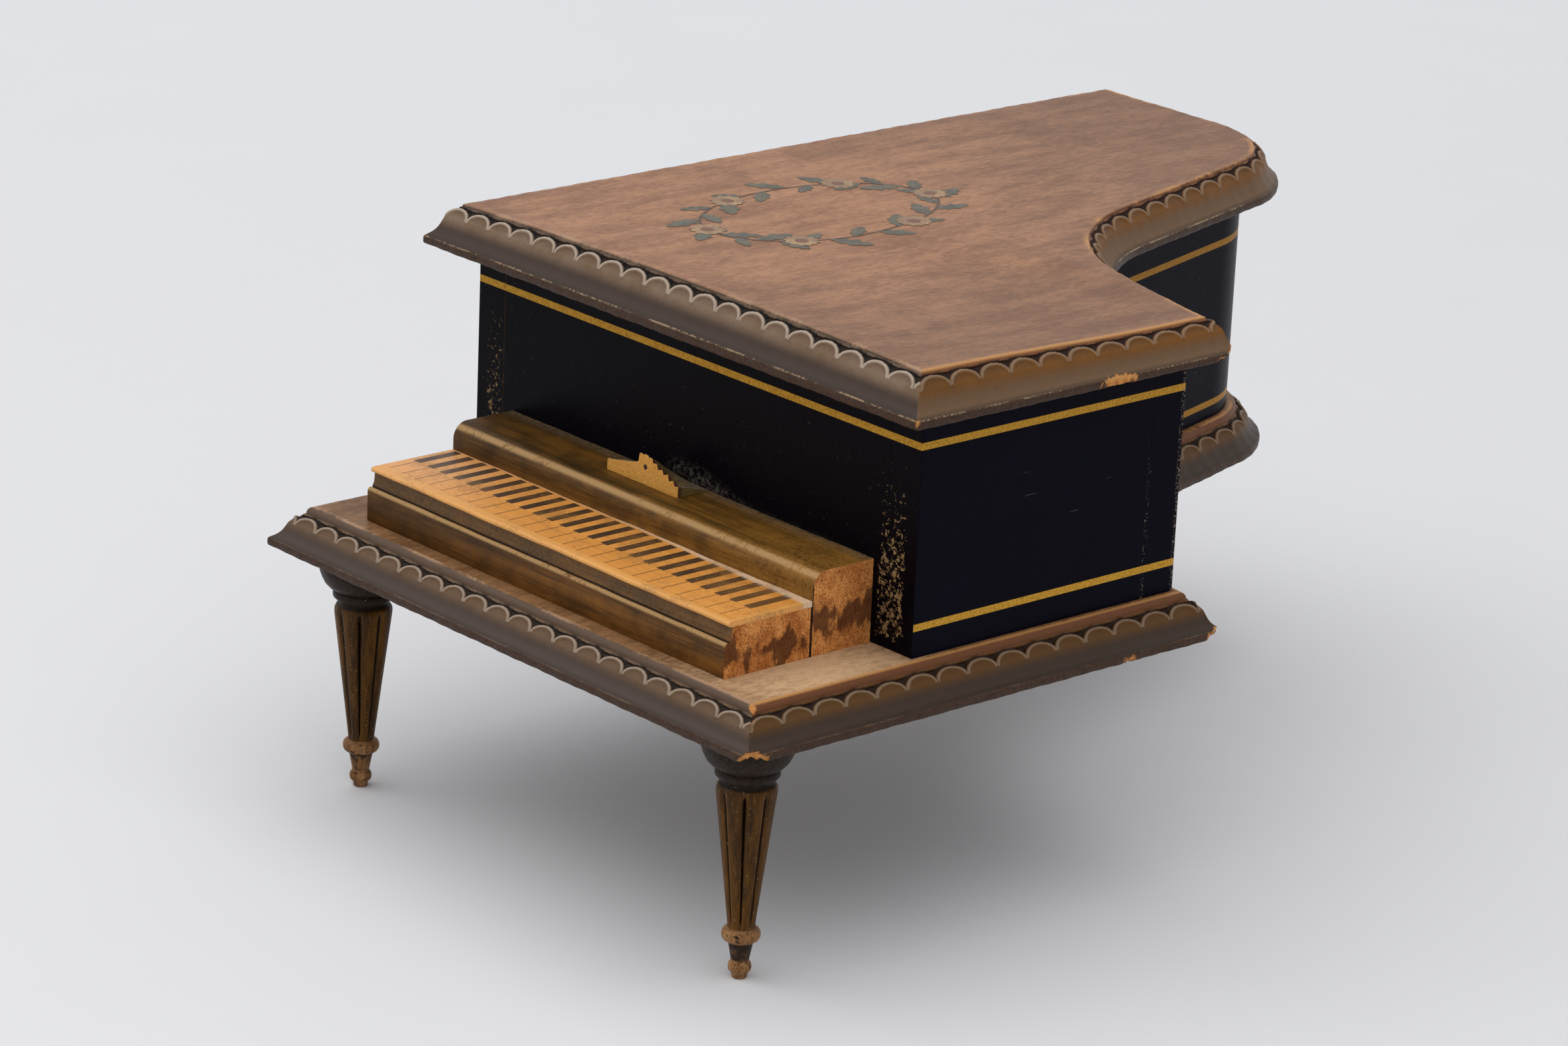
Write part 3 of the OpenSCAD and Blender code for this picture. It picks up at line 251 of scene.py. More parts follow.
world = bpy.data.worlds.new("room")
world.use_nodes = True
scene.world = world
tree = world.node_tree
rays = tree.nodes.new("ShaderNodeLightPath")
seen = larger(tree, rays.outputs["Is Camera Ray"], rays.outputs["Is Glossy Ray"])
seen = larger(tree, seen, rays.outputs["Is Transmission Ray"])
room = tree.nodes["Background"]
plug(tree, room.inputs["Color"], blend(tree, seen, tone("e9eaee"), tone("e6e8ec")))
plug(tree, room.inputs["Strength"], plus(tree, 0.72, times(tree, seen, 0.15)))
aim = Vector((0, 0, 0.08))
for name, spot, size, power in (
        ("lamp_overhead", (0.12, -0.3, 1.5), 2.3, 16.2),
        ("lamp_left", (-0.9, -0.7, 0.9), 0.8, 1.8)):
    lamp = bpy.data.lights.new(name, "AREA")
    lamp.size = size
    lamp.energy = power
    lamp_object = bpy.data.objects.new(name, lamp)
    scene.collection.objects.link(lamp_object)
    lamp_object.location = spot
    lamp_object.rotation_euler = (aim - Vector(spot)).to_track_quat("-Z", "Y").to_euler()


# Base board: stained wood with an ogee edge, carved all round with small arches.
# The case and the keyboard stand on it, and the legs are tenoned into it from below.
half = 1000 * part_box("cheek_panel")[1].x
front_y = 1000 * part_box("front_panel")[0].y
floor_z = 1000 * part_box("base_board")[1].z
cheek_l = 82.5
case_l = 1000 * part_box("tail_panel")[1].y - front_y
lead_x = 56.2
lead_run = 23.8
bent_r = 63
tail_r = 31
turn_a = math.radians(8)
turn_b = math.radians(74.5)
lead_end = np.array((lead_x, cheek_l + lead_run * math.tan(turn_a)))
bent_c = lead_end + bent_r * np.array((math.sin(turn_a), math.cos(turn_a)))
lean = np.array((math.sin(turn_b), math.cos(turn_b)))
bent_end = bent_c - bent_r * lean
run = (case_l - tail_r - (bent_end - tail_r * lean)[1]) / math.sin(turn_b)
tail_start = bent_end + run * np.array((-math.cos(turn_b), math.sin(turn_b)))
tail_c = tail_start - tail_r * lean
lip_out = 1000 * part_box("base_board")[1].x - half
shelf_d = front_y - 1000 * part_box("base_board")[0].y - lip_out
lip_h = 2
flat_out = 2.7
step_w = 0.7
arch_h = 3.2
arch_out = 4.5
cove_row = 5
rim_h = 0.26
cut_d = 0.62
hollow_d = 0.3
carve_gap = 0.42
front_side, cheek_side, bent_side, spine_side = range(4)


def edge_walk(shelf, gap):
    """Stops round the case: place, outward direction, side, length along it, and its growth per overhang."""
    stops = []

    def fan(corner, normal, along, side, start, reach, shares):
        for share in shares:
            stops.append((*corner, *(normal + along * reach * share), side, start, reach * share))

    def straight(a, b, normal, side, start, first=True, last=True):
        length = np.hypot(*(b - a))
        places = np.linspace(0, length, max(2, round(length / gap) + 1))
        places = places[0 if first else 1:None if last else -1]
        stops.extend((*(a + (b - a) * s / length), *normal, side, start + s, 0.0) for s in places)
        return start + length

    def bow(centre, radius, sign, start_a, end_a, side, start):
        swing = abs(end_a - start_a)
        count = round(swing * radius / gap)
        for a in np.linspace(start_a, end_a, count + 1)[1:]:
            normal = np.array((math.sin(a), math.cos(a)))
            length = start + abs(a - start_a) * (radius + sign * arch_out)
            stops.append((*(centre + sign * radius * normal), *normal, side, length, 0.0))
        return start + swing * (radius + sign * arch_out)

    outs = np.linspace(0.1, 0.9, 9)
    ins = np.linspace(1, 0.1, 10)
    near_left = np.array((-half, -shelf))
    near_right = np.array((half, -shelf))
    cheek_end = np.array((half, cheek_l))
    back_turn = np.array((tail_c[0], case_l))
    back_left = np.array((-half, case_l))
    x = np.array((1.0, 0.0))
    y = np.array((0.0, 1.0))
    lead_out = np.array((math.sin(turn_a), math.cos(turn_a)))
    lead_way = np.array((-math.cos(turn_a), math.sin(turn_a)))
    mitre = (1 - math.sin(turn_a)) / math.cos(turn_a)
    fan(near_left, -y, x, front_side, -half, -1, ins)
    straight(near_left, near_right, -y, front_side, -half)
    fan(near_right, -y, x, front_side, half, 1, outs)
    fan(near_right, x, y, cheek_side, -shelf, -1, ins)
    straight(near_right, cheek_end, x, cheek_side, -shelf)
    fan(cheek_end, x, y, cheek_side, cheek_l, mitre, outs)
    fan(cheek_end, lead_out, lead_way, bent_side, 0.0, -mitre, ins)
    length = straight(cheek_end, lead_end, lead_out, bent_side, 0.0)
    length = bow(bent_c, bent_r, -1, turn_a, turn_b, bent_side, length)
    length = straight(bent_end, tail_start, lean, bent_side, length, False)
    length = bow(tail_c, tail_r, 1, turn_b, 0.0, bent_side, length)
    length = straight(back_turn, back_left, y, bent_side, length, False)
    fan(back_left, y, -x, bent_side, length, 1, outs)
    fan(back_left, -x, -y, spine_side, -case_l, -1, ins)
    straight(back_left, near_left, -x, spine_side, -case_l)
    fan(near_left, -x, -y, spine_side, shelf, 1, outs)
    return np.array(stops)


def edge_rows(thick, fillet_h, round_r):
    """Ogee profile from the underside to the flat top: overhang and height."""
    rows = [(lip_out - 0.6, 0), (lip_out - 0.15, 0.1), (lip_out, 0.5), (lip_out, lip_h - 0.5)]
    rows.append((lip_out - 0.1, lip_h - 0.12))
    foot = np.array((lip_out - 0.3, lip_h + 0.15))
    head = np.array((flat_out + step_w, thick - fillet_h))
    slope = head - foot
    swell = np.array((slope[1], -slope[0])) / np.hypot(*slope)
    for t in np.linspace(0, 1, 34):
        rows.append(foot + slope * t - swell * 0.45 * math.sin(2 * math.pi * t))
    rows.append((flat_out + 0.12, thick - fillet_h + 0.04))
    rows.append((flat_out, thick - fillet_h + 0.2))
    for a in np.linspace(0, math.pi / 2, 6):
        rows.append((flat_out - round_r * (1 - math.cos(a)), thick - round_r * (1 - math.sin(a))))
    for share in (0.3, 0.6, 1.0):
        rows.append((flat_out - round_r - share * 0.9 * (flat_out - round_r), thick))
    return np.array(rows, float)


def ease(value, start, end):
    """Smooth step in numbers."""
    share = np.clip((value - start) / (end - start), 0, 1)
    return share * share * (3 - 2 * share)


def ring_faces(rings, count):
    """Quads between closed rings of count points each."""
    faces = []
    for start in range(0, (rings - 1) * count, count):
        for c in range(count):
            d = (c + 1) % count
            faces.append((start + c, start + d, start + count + d, start + count + c))
    return faces


def end_faces(rings, count):
    """The first ring's face and the last one's."""
    return [list(range(count - 1, -1, -1)), list(range((rings - 1) * count, rings * count))]


def arch_marks(below, along, pitch, first):
    """How far each point lies on an arch's rim, between arches, in a gouge, and in an arch's hollow."""
    turns = (along - first) / pitch
    across = 2 * (turns - np.round(turns))
    rising = np.clip(1 - (below - 0.3) / (arch_h - 0.3), 0, None)
    inside = (1 - np.hypot(across, rising)) * arch_h
    width = 0.28 + 0.22 * np.clip(rising, 0, 1)
    fade = ease(-below, -arch_h - 0.7, -arch_h)
    rim = fade * ease(below, -0.05, 0.12) * np.exp(-((inside - width) / width) ** 2)
    recess = fade * ease(below, -0.05, 0.12) * ease(-inside, -0.05, 0.3)
    gouge = ease(-inside, 0.0, 0.15) * ease(inside, -1.15, -0.8) * ease(below, -1.25, -1.0)
    gouge = gouge * (1 - ease(np.abs(across), 0.62, 0.85))
    hollow = fade * ease(inside, 2 * width, 2 * width + 0.35) * np.clip(rising, 0, 1) ** 0.7
    return rim, recess, gouge, hollow


def break_off(points, chips):
    """Moves points back to where the wood has split, and says which of them show raw wood."""
    broken = np.zeros(len(points))
    for centre, normal, spread in chips:
        normal = np.array(normal) / np.linalg.norm(normal)
        apart = points - np.array(centre)
        beyond = apart @ normal
        far = ((apart - beyond[:, None] * normal) ** 2).sum(1)
        ragged = 0.3 * np.sin(1.9 * points[:, 0] + 1.3 * points[:, 2]) * np.sin(2.3 * points[:, 1])
        ragged += 0.18 * np.sin(4.7 * points[:, 1] + 3.9 * points[:, 2] + 2.9 * points[:, 0])
        over = np.clip(beyond - far / spread + ragged, 0, None) * (beyond - far / spread > -0.5)
        points -= over[:, None] * normal
        broken = np.maximum(broken, np.clip(over / 0.2, 0, 1))
    return broken


def carved_board(name, low, thick, shelf, fillet_h, round_r, pitches, chips, warp, body):
    """Board with the carved edge.

    pitches gives each side's arch spacing and one arch's middle.
    chips gives each break's middle, the way it faces, and how far it spreads.
    """
    stop_x, stop_y, out_x, out_y, sides, start, growth = edge_walk(shelf, carve_gap).T
    sides = sides.astype(int)
    rows = edge_rows(thick, fillet_h, round_r)
    ways = np.gradient(rows, axis=0)
    ways /= np.hypot(ways[:, 0], ways[:, 1])[:, None]
    steps = np.hypot(*np.diff(rows, axis=0).T)
    length = np.concatenate(([0], np.cumsum(steps)))
    head = np.argmin(np.hypot(rows[:, 0] - flat_out - step_w, rows[:, 1] - thick + fillet_h))
    top = np.argmax(rows[:, 1] >= thick - 1e-6)
    below = (length[head] - length)[:, None]
    along = start + growth * rows[:, :1]
    pitch, first = np.array(pitches)[sides].T
    rim, recess, gouge, hollow = arch_marks(below, along, pitch, first)
    wobble = 0.05 * np.sin(0.31 * along + 2.1 * sides) + 0.04 * np.sin(1.13 * along)
    relief = rim_h * rim - cut_d * np.maximum(recess, gouge) - hollow_d * hollow
    relief = relief + wobble * ease(below, -4.0, -0.5)
    out = rows[:, :1] + relief * ways[:, 1:2]
    points = np.stack((
        stop_x + out * out_x,
        stop_y + out * out_y + front_y,
        np.broadcast_to(low + rows[:, 1:2] - relief * ways[:, :1], out.shape)), -1)
    points = points.reshape(-1, 3)
    points[:, 2] += warp(points[:, 0], points[:, 1] - front_y, (points[:, 2] - low) / thick)
    broken = break_off(points, chips)
    faces = ring_faces(len(rows), len(sides)) + end_faces(len(rows), len(sides))
    drop = np.broadcast_to((length[top] - length)[:, None], out.shape)
    above = np.broadcast_to((length - length[cove_row])[:, None], out.shape)
    toward = np.broadcast_to((sides == front_side) | (sides == spine_side), out.shape)
    marks = {
        "drop": drop, "above": above, "toward": toward, "rim": rim,
        "recess": recess, "gouge": gouge, "hollow": hollow, "chip": broken}
    return build(name, points, faces, marks, body, 50)


def build(name, points, faces, marks, body, angle):
    """Mesh piece with marks on its points, riding on a body."""
    mesh = bpy.data.meshes.new(name)
    mesh.from_pydata((np.asarray(points) / 1000).tolist(), [], faces)
    for key, values in marks.items():
        layer = mesh.attributes.new(key, "FLOAT", "POINT")
        layer.data.foreach_set("value", np.ascontiguousarray(np.asarray(values).ravel(), np.float32))
    mesh.shade_smooth()
    mesh.set_sharp_from_angle(angle=math.radians(angle))
    piece = bpy.data.objects.new(name, mesh)
    scene.collection.objects.link(piece)
    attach(piece, body)
    return piece


def cut_away(piece, shapes, angle):
    """Cuts boxes and drilled holes: ("box", low, high) or ("hole", centre, radius, axis, length)."""
    tool = bmesh.new()
    for shape in shapes:
        if shape[0] == "box":
            low, high = np.array(shape[1]) / 1000, np.array(shape[2]) / 1000
            grown = Matrix.Translation((low + high) / 2) @ Matrix.Diagonal((*(high - low), 1))
            bmesh.ops.create_cube(tool, size=1, matrix=grown)
        else:
            spin = Vector(shape[3]).to_track_quat("Z", "Y").to_matrix().to_4x4()
            where = Matrix.Translation(Vector(shape[1]) / 1000) @ spin
            bmesh.ops.create_cone(tool, cap_ends=True, segments=48, radius1=shape[2] / 1000,
                                  radius2=shape[2] / 1000, depth=shape[4] / 1000, matrix=where)
    cutter_mesh = bpy.data.meshes.new("cutter")
    tool.to_mesh(cutter_mesh)
    tool.free()
    cutter = bpy.data.objects.new("cutter", cutter_mesh)
    scene.collection.objects.link(cutter)
    step = piece.modifiers.new("cut", "BOOLEAN")
    step.operation = "DIFFERENCE"
    step.solver = "MANIFOLD"
    step.object = cutter
    bpy.context.view_layer.update()
    graph = bpy.context.evaluated_depsgraph_get()
    done = bpy.data.meshes.new_from_object(piece.evaluated_get(graph))
    piece.modifiers.clear()
    piece.data = done
    bpy.data.objects.remove(cutter)
    done.shade_smooth()
    done.set_sharp_from_angle(angle=math.radians(angle))


def mark(tree, name):
    """Mark that the mesh carries."""
    step = tree.nodes.new("ShaderNodeAttribute")
    step.attribute_name = name
    return step.outputs["Fac"]


# Shared figure of wood: long soft streaks with fine pores
figure_inputs = {"Place": "Vector", "Light": "Color", "Dark": "Color"}
figure, entry, leave = node_group("wood_figure", figure_inputs, {"Colour": "Color", "Height": "Float"})
streak = noise(figure, entry["Place"], 0.22, 5.0, 0.62)
pores = noise(figure, entry["Place"], 1.7, 3.0, 0.6)
mixed = plus(figure, times(figure, streak, 0.65), times(figure, pores, 0.35))
plug(figure, leave["Height"], mixed)
plug(figure, leave["Colour"], blend(figure, span(figure, mixed, 0.36, 0.64), entry["Dark"], entry["Light"]))


def wood(tree, factors, light, dark):
    """Colour and height of wood, with its grain along the axis of the smallest factor."""
    found = placed(tree, figure, place(tree, factors), light, dark)
    return found["Colour"], found["Height"]


def reach_of(tree, a, b):
    """Length of the way whose two steps are a and b."""
    return calc(tree, "SQRT", plus(tree, calc(tree, "POWER", a, 2.0), calc(tree, "POWER", b, 2.0)))


def board_top(tree, spot, cloud, shades, vignette, pale):
    """Colour and height of a carved board's top, mottled, darker far off and paler at one place."""
    colour, height = wood(tree, (0.8, 0.2, 1.0), *shades)
    mottle = noise(tree, place(tree, (1.0, 0.45, 1.0)), 0.9, 5.0, 0.7)
    colour = tint(tree, colour, tone("4a3021"), mottle, 0.42, 0.7, 0.35)
    if vignette:
        off_x = times(tree, plus(tree, spot[0], 40.0), 1 / 110)
        off_y = times(tree, minus(tree, spot[1], front_y + 45), 1 / 130)
        off = reach_of(tree, off_x, off_y)
        off = plus(tree, off, times(tree, minus(tree, cloud, 0.5), 0.8))
        colour = tint(tree, colour, tone("4e392d"), off, 0.3, 1.1, vignette)
    if pale:
        pale_x, pale_y, pale_r = pale
        off_x = minus(tree, spot[0], pale_x)
        off_y = minus(tree, spot[1], front_y + pale_y)
        off = reach_of(tree, off_x, off_y)
        off = plus(tree, off, times(tree, minus(tree, mottle, 0.5), 30.0))
        pale_share = plus(tree, 0.7, times(tree, span(tree, mottle, 0.7, 0.35), 0.3))
        pale_share = times(tree, span(tree, off, pale_r, 6.0), pale_share)
        colour = blend(tree, times(tree, pale_share, 0.85), colour, tone("dfb98f"))
    return colour, height


def board_side(tree, grit, cloud, right, front, cuts, glow, fillet_h, lip_wear_and_highlight):
    """Colour of the fillet, arches, cove and lip: greyer at the front with dust and a painted sheen, painted
    highlights on rims and lip, and painted shade with grime where the carving lies deep.
    """
    drop = mark(tree, "drop")
    above = mark(tree, "above")
    toward = mark(tree, "toward")
    # painted sheen: the front and spine faces get greyer copies of the varnish, partly dust
    varnish = blend(tree, toward, right[0], front[0])
    varnish = tint(tree, varnish, tone("5c3d18"), cloud, 0.4, 0.75, 0.5)
    varnish = tint(tree, varnish, blend(tree, toward, right[1], front[1]), above, 6.2, 3.0)
    varnish = tint(tree, varnish, tone("3e2f22"), grit, 0.5, 0.75, 0.35)
    # painted shade at the foot of the cove, just above the lip
    varnish = tint(tree, varnish, tone("2c2118"), above, 1.3, 0.2, 0.5)
    bark = tint(tree, tone("47301f"), tone("2c1d13"), grit, 0.35, 0.7)
    varnish = tint(tree, varnish, bark, above, 0.0, -0.3)
    # light line on the lip's top edge: partly wear, partly a painted highlight along its crest
    worn_lip_and_highlight = times(tree, span(tree, above, 0.08, -0.1), span(tree, above, -0.5, -0.28))
    patchy = plus(tree, plus(tree, grit, cloud), times(tree, toward, 0.03))
    worn_lip_and_highlight = times(tree, worn_lip_and_highlight, span(tree, patchy, 0.98, 1.16))
    varnish = blend(tree, times(tree, worn_lip_and_highlight, lip_wear_and_highlight), varnish, tone("c7a983"))
    # painted shade in each arch's hollow under its rim
    hollow_shade = times(tree, mark(tree, "hollow"), plus(tree, 0.5, times(tree, grit, 0.5)))
    varnish = blend(tree, hollow_shade, varnish, blend(tree, toward, tone("4a2d0c"), tone("4f331b")))
    glint = times(tree, span(tree, mark(tree, "rim"), 0.3, 0.85), span(tree, grit, 0.15, 0.5))
    glint = times(tree, glint, plus(tree, 0.6, times(tree, toward, 0.25)))
    varnish = blend(tree, glint, varnish, blend(tree, toward, tone("8d7b68"), glow))
    # painted shade with grime, dark in the sunk spandrels between the arches
    recess_shade_and_grime = span(tree, mark(tree, "recess"), 0.12, 0.5)
    varnish = blend(tree, recess_shade_and_grime, varnish, blend(tree, toward, tone("24130a"), tone("241a12")))
    fillet = times(tree, span(tree, drop, 0.3, 0.6), span(tree, drop, fillet_h + 1.2, fillet_h + 0.5))
    varnish = blend(tree, fillet, varnish, blend(tree, toward, tone("6a3f22"), tone("5a4636")))
    # painted shade, near black, in the gouges that outline the arches
    cut = span(tree, mark(tree, "gouge"), 0.12, 0.5)
    varnish = blend(tree, cut, varnish, blend(tree, toward, *cuts))
    return varnish, larger(tree, recess_shade_and_grime, cut)


def carved_wood(name, top, right, front, cuts, glow, fillet_h, round_r, edge_wear, lip_wear_and_highlight, vignette, pale):
    """Finish of a carved board: top, worn top edge, carved side, broken wood, underside.

    top gives the light and the dark of the stain.
    right and front give the arches' varnish and the cove's duller one, by the side they face; the front's
    greyer copy is partly a painted sheen.
    cuts gives the gouges' painted shade colours in the same order, and glow is the colour of the painted
    highlight on the front rims.
    pale gives the middle and the radius of a paler place on the top.
    """
    made, tree = material(name)
    where = place(tree)
    spot = axes(tree, where)
    drop = mark(tree, "drop")
    chip = mark(tree, "chip")
    cloud = noise(tree, where, 0.09, 4.0)
    grit = noise(tree, where, 1.3, 4.0, 0.65)
    fine = noise(tree, where, 6.0, 3.0, 0.6)
    colour, height = board_top(tree, spot, cloud, top, vignette, pale)
    varnish, recess_shade_and_grime = board_side(tree, grit, cloud, right, front, cuts, glow, fillet_h, lip_wear_and_highlight)
    colour = tint(tree, colour, varnish, drop, 0.1, 0.5)
    # bare wood along the top edge, more where the noise and the side ask for it
    deep = 0.9 * (flat_out - round_r)
    ragged = plus(tree, drop, times(tree, minus(tree, grit, 0.62), 2.2))
    inner = times(tree, span(tree, ragged, -0.85 * deep, -0.2), span(tree, drop, -deep, -0.8 * deep))
    band = times(tree, inner, span(tree, drop, 1.1, 0.4))
    more = plus(tree, times(tree, span(tree, spot[0], 70.0, 82.0), 0.28), edge_wear)
    rubbed = plus(tree, plus(tree, times(tree, grit, 0.5), cloud), more)
    rubbed = times(tree, band, span(tree, rubbed, 0.85, 1.05))
    rubbed_tone = blend(tree, mark(tree, "toward"), tone("c08a52"), tone("ad8a6c"))
    colour = blend(tree, times(tree, rubbed, 0.85), colour, rubbed_tone)
    raw, raw_height = wood(tree, (1.0, 0.1, 2.0), tone("d79a58"), tone("a8672f"))
    colour = blend(tree, chip, colour, raw)
    colour = tint(tree, colour, tone("4b3823"), mark(tree, "above"), -2.8, -3.2)
    rough = plus(tree, 0.38, times(tree, grit, 0.16))
    rough = plus(tree, rough, times(tree, larger(tree, recess_shade_and_grime, chip), 0.25))
    bumps = plus(tree, times(tree, height, 0.5), times(tree, fine, 0.3))
    bumps = plus(tree, bumps, times(tree, times(tree, raw_height, chip), 3.0))
    shader = surface(tree, colour, rough, bumps, 0.12)
    shader.inputs["Specular IOR Level"].default_value = 0.2
    return made


base_low = 1000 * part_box("base_board")[0].z
base_fillet = 2.0
base_round = 1.6
base_board = carved_board(
    "base_carved", base_low, floor_z - base_low, shelf_d, base_fillet, base_round,
    pitches=((8.3, -79.0), (9.2, -47.5), (9.0, 4.0), (9.0, 0.0)),
    chips=(
        ((half + 8.5, front_y - shelf_d - 4.2, base_low + 0.6), (0.8, -0.6, -0.5), 24.0),
        ((half + 8.3, front_y + cheek_l + 5.6, base_low + 1.2), (0.8, 0.45, -0.4), 30.0),
        ((half + 9.1, front_y + 60, base_low + 0.6), (0.9, 0.1, -0.4), 14.0),
        ((half + 1.2, front_y - shelf_d - 1.4, floor_z - 0.3), (0.4, -0.5, 0.77), 22.0)),
    warp=lambda x, y, share: 0 * x,
    body="case")
key_hole = 1000 * (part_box("winding_arbor")[0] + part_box("winding_arbor")[1]) / 2
cut_away(base_board, [("hole", (key_hole.x, key_hole.y, base_low + 4.7), 4.5, (0, 0, 1), 14)], 50)
base_board.data.materials.clear()
base_board.data.materials.append(carved_wood(
    "base_wood",
    top=(tone("936c47"), tone("6b4a2c")),
    right=(tone("5c3b12"), tone("3d2e22")),
    front=(tone("6a523b"), tone("473930")),
    cuts=(tone("2c1a0a"), tone("1e130a")),
    glow=tone("a08f7e"),
    fillet_h=base_fillet, round_r=base_round,
    edge_wear=0.2, lip_wear_and_highlight=0.12, vignette=0.0, pale=(73.0, -22.0, 42.0)))
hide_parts("base_board")


# Legs: turned hardwood with a reeded shaft, dark at cup and neck, bare at the rings.
# Each is tenoned into the base board from below. The profile gives radius and height, from the toe up.
leg_h = base_low
leg_reeds = 8
leg_ring = 10.7
leg_gap = 0.7
reed_steps = 14
reed_cut = 0.17
leg_profile = np.array((
    (0, 0), (1.5, 0), (1.75, 0.25), (1.85, 1.2), (2.2, 1.55), (2.6, 2.0), (2.72, 2.8), (2.55, 3.6),
    (2.15, 4.1), (2.1, 4.6), (2.9, leg_ring - 1.9), (3.15, leg_ring - 1.65), (3.6, leg_ring - 1.5),
    (4.1, leg_ring - 1.15), (4.4, leg_ring - 0.6), (4.47, leg_ring), (4.4, leg_ring + 0.6),
    (4.1, leg_ring + 1.15), (3.5, leg_ring + 1.5), (3.15, leg_ring + 1.8), (3.25, leg_ring + 2.8),
    (7.0, leg_h - 15.6), (7.1, leg_h - 14.6), (7.0, leg_h - 13.6), (6.5, leg_h - 12.8), (5.9, leg_h - 12.4),
    (5.6, leg_h - 11.6), (5.65, leg_h - 11.3), (7.0, leg_h - 11.1), (7.4, leg_h - 10.7), (7.5, leg_h - 10.1),
    (7.4, leg_h - 9.5), (7.05, leg_h - 9.1), (7.3, leg_h - 8.8), (8.5, leg_h - 8.1), (9.5, leg_h - 7.0),
    (10.2, leg_h - 5.6), (10.7, leg_h - 4.2), (10.95, leg_h - 2.8), (11.0, leg_h - 1.2), (11.0, leg_h),
    (4.0, leg_h), (4.0, leg_h + 5.5), (0, leg_h + 5.5)))


def close_seams(piece):
    """Joins points that lie on each other."""
    step = piece.modifiers.new("weld", "WELD")
    step.merge_threshold = 0.00001


def turned_leg(name, node, finish):
    """Leg turned to the profile, its shaft cut into rounded reeds."""
    low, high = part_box(node)
    middle = 1000 * (low + high) / 2
    marks = []
    for a, b in zip(leg_profile[:-1], leg_profile[1:]):
        marks.extend(np.linspace(a, b, max(1, round(np.hypot(*(b - a)) / leg_gap)) + 1)[:-1])
    marks = np.array(marks + [leg_profile[-1]])
    count = leg_reeds * reed_steps
    angles = 2 * math.pi * np.arange(count) / count
    phase = np.abs(2 * ((angles * leg_reeds / (2 * math.pi)) % 1) - 1)
    shaft = ease(marks[:, 1], leg_ring + 2.0, leg_ring + 4.5)
    shaft = shaft * ease(-marks[:, 1], 12.9 - leg_h, 15.5 - leg_h)
    valley = (phase[None, :] ** 7) * shaft[:, None]
    radius = marks[:, :1] * (1 - reed_cut * valley - 0.03 * phase[None, :] ** 2 * shaft[:, None])
    points = np.stack((
        middle.x + radius * np.cos(angles),
        middle.y + radius * np.sin(angles),
        np.broadcast_to(marks[:, 1:2], radius.shape)), -1).reshape(-1, 3)
    leg = build(name, points, ring_faces(len(marks), count), {"groove": valley}, "case", 60)
    leg.data.materials.append(finish)
    close_seams(leg)
    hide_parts(node)


def leg_finish(name, tip):
    """Worn leg varnish by height, with dark grooves and bare rings."""
    made, tree = material(name)
    where = place(tree)
    spot = axes(tree, where)
    height = spot[2]
    grit = noise(tree, where, 1.1, 4.0, 0.65)
    cloud = noise(tree, where, 0.2, 3.0)
    reed, grain = wood(tree, (1.0, 1.0, 0.08), tone("64400f"), tone("321e06"))
    reed = tint(tree, reed, tone("1a1008"), mark(tree, "groove"), 0.15, 0.6)
    reed = tint(tree, reed, tone("b39a6c"), noise(tree, where, 1.9, 2.0), 0.68, 0.73, 0.55)
    bare = wood(tree, (1.0, 1.0, 0.15), tone("a3774b"), tone("6b4829"))[0]
    dark = tint(tree, tone("2f2218"), tone("17110d"), grit, 0.35, 0.7)
    chips = plus(tree, grit, times(tree, cloud, 0.6))
    dark_worn = tint(tree, dark, tone("a99c88"), chips, 0.98, 1.08, 0.8)
    foot = tint(tree, dark, bare, plus(tree, grit, cloud), 0.9, 1.15, tip)
    ring = tint(tree, bare, dark, grit, 0.52, 0.68)
    colour = tint(tree, ring, foot, height, 4.2, 4.9)
    colour = tint(tree, colour, ring, height, leg_ring - 1.75, leg_ring - 1.5)
    colour = tint(tree, colour, reed, height, leg_ring + 1.55, leg_ring + 1.9)
    colour = tint(tree, colour, dark_worn, height, leg_h - 13.2, leg_h - 12.6)
    colour = tint(tree, colour, dark, height, leg_h - 8.9, leg_h - 8.4)
    rough = plus(tree, 0.32, times(tree, grit, 0.25))
    shader = surface(tree, colour, rough, plus(tree, grain, times(tree, grit, 0.6)), 0.15)
    shader.inputs["Specular IOR Level"].default_value = 0.13
    return made


right_finish = leg_finish("leg_wood_right", 0.25)
turned_leg("leg_left_turned", "leg_front_left", leg_finish("leg_wood_left", 0.9))
turned_leg("leg_right_turned", "leg_front_right", right_finish)
turned_leg("leg_rear_turned", "leg_rear", right_finish)


# Case walls: boards lacquered black outside, with thin gold lines; plain wood inside.
# They stand glued on the base board, with the cheek and the spine lapping the front panel.
case_low = floor_z
case_high = 1000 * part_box("cheek_panel")[1].z
cheek_end = front_y + cheek_l
wall = 10
stripe_low = case_low + 7.3
stripe_high = case_low + 50.2


def between(tree, a, b):
    """Distance between two values on one axis."""
    return calc(tree, "ABSOLUTE", minus(tree, a, b))


lacquer, tree = material("black_lacquer")
where = place(tree)
spot = axes(tree, where)
grit = noise(tree, where, 1.6, 4.0, 0.65)
cloud = noise(tree, where, 0.05, 3.0)
fine = noise(tree, where, 9.0, 2.0)
on_front = span(tree, spot[1], front_y + 0.12, front_y + 0.04)
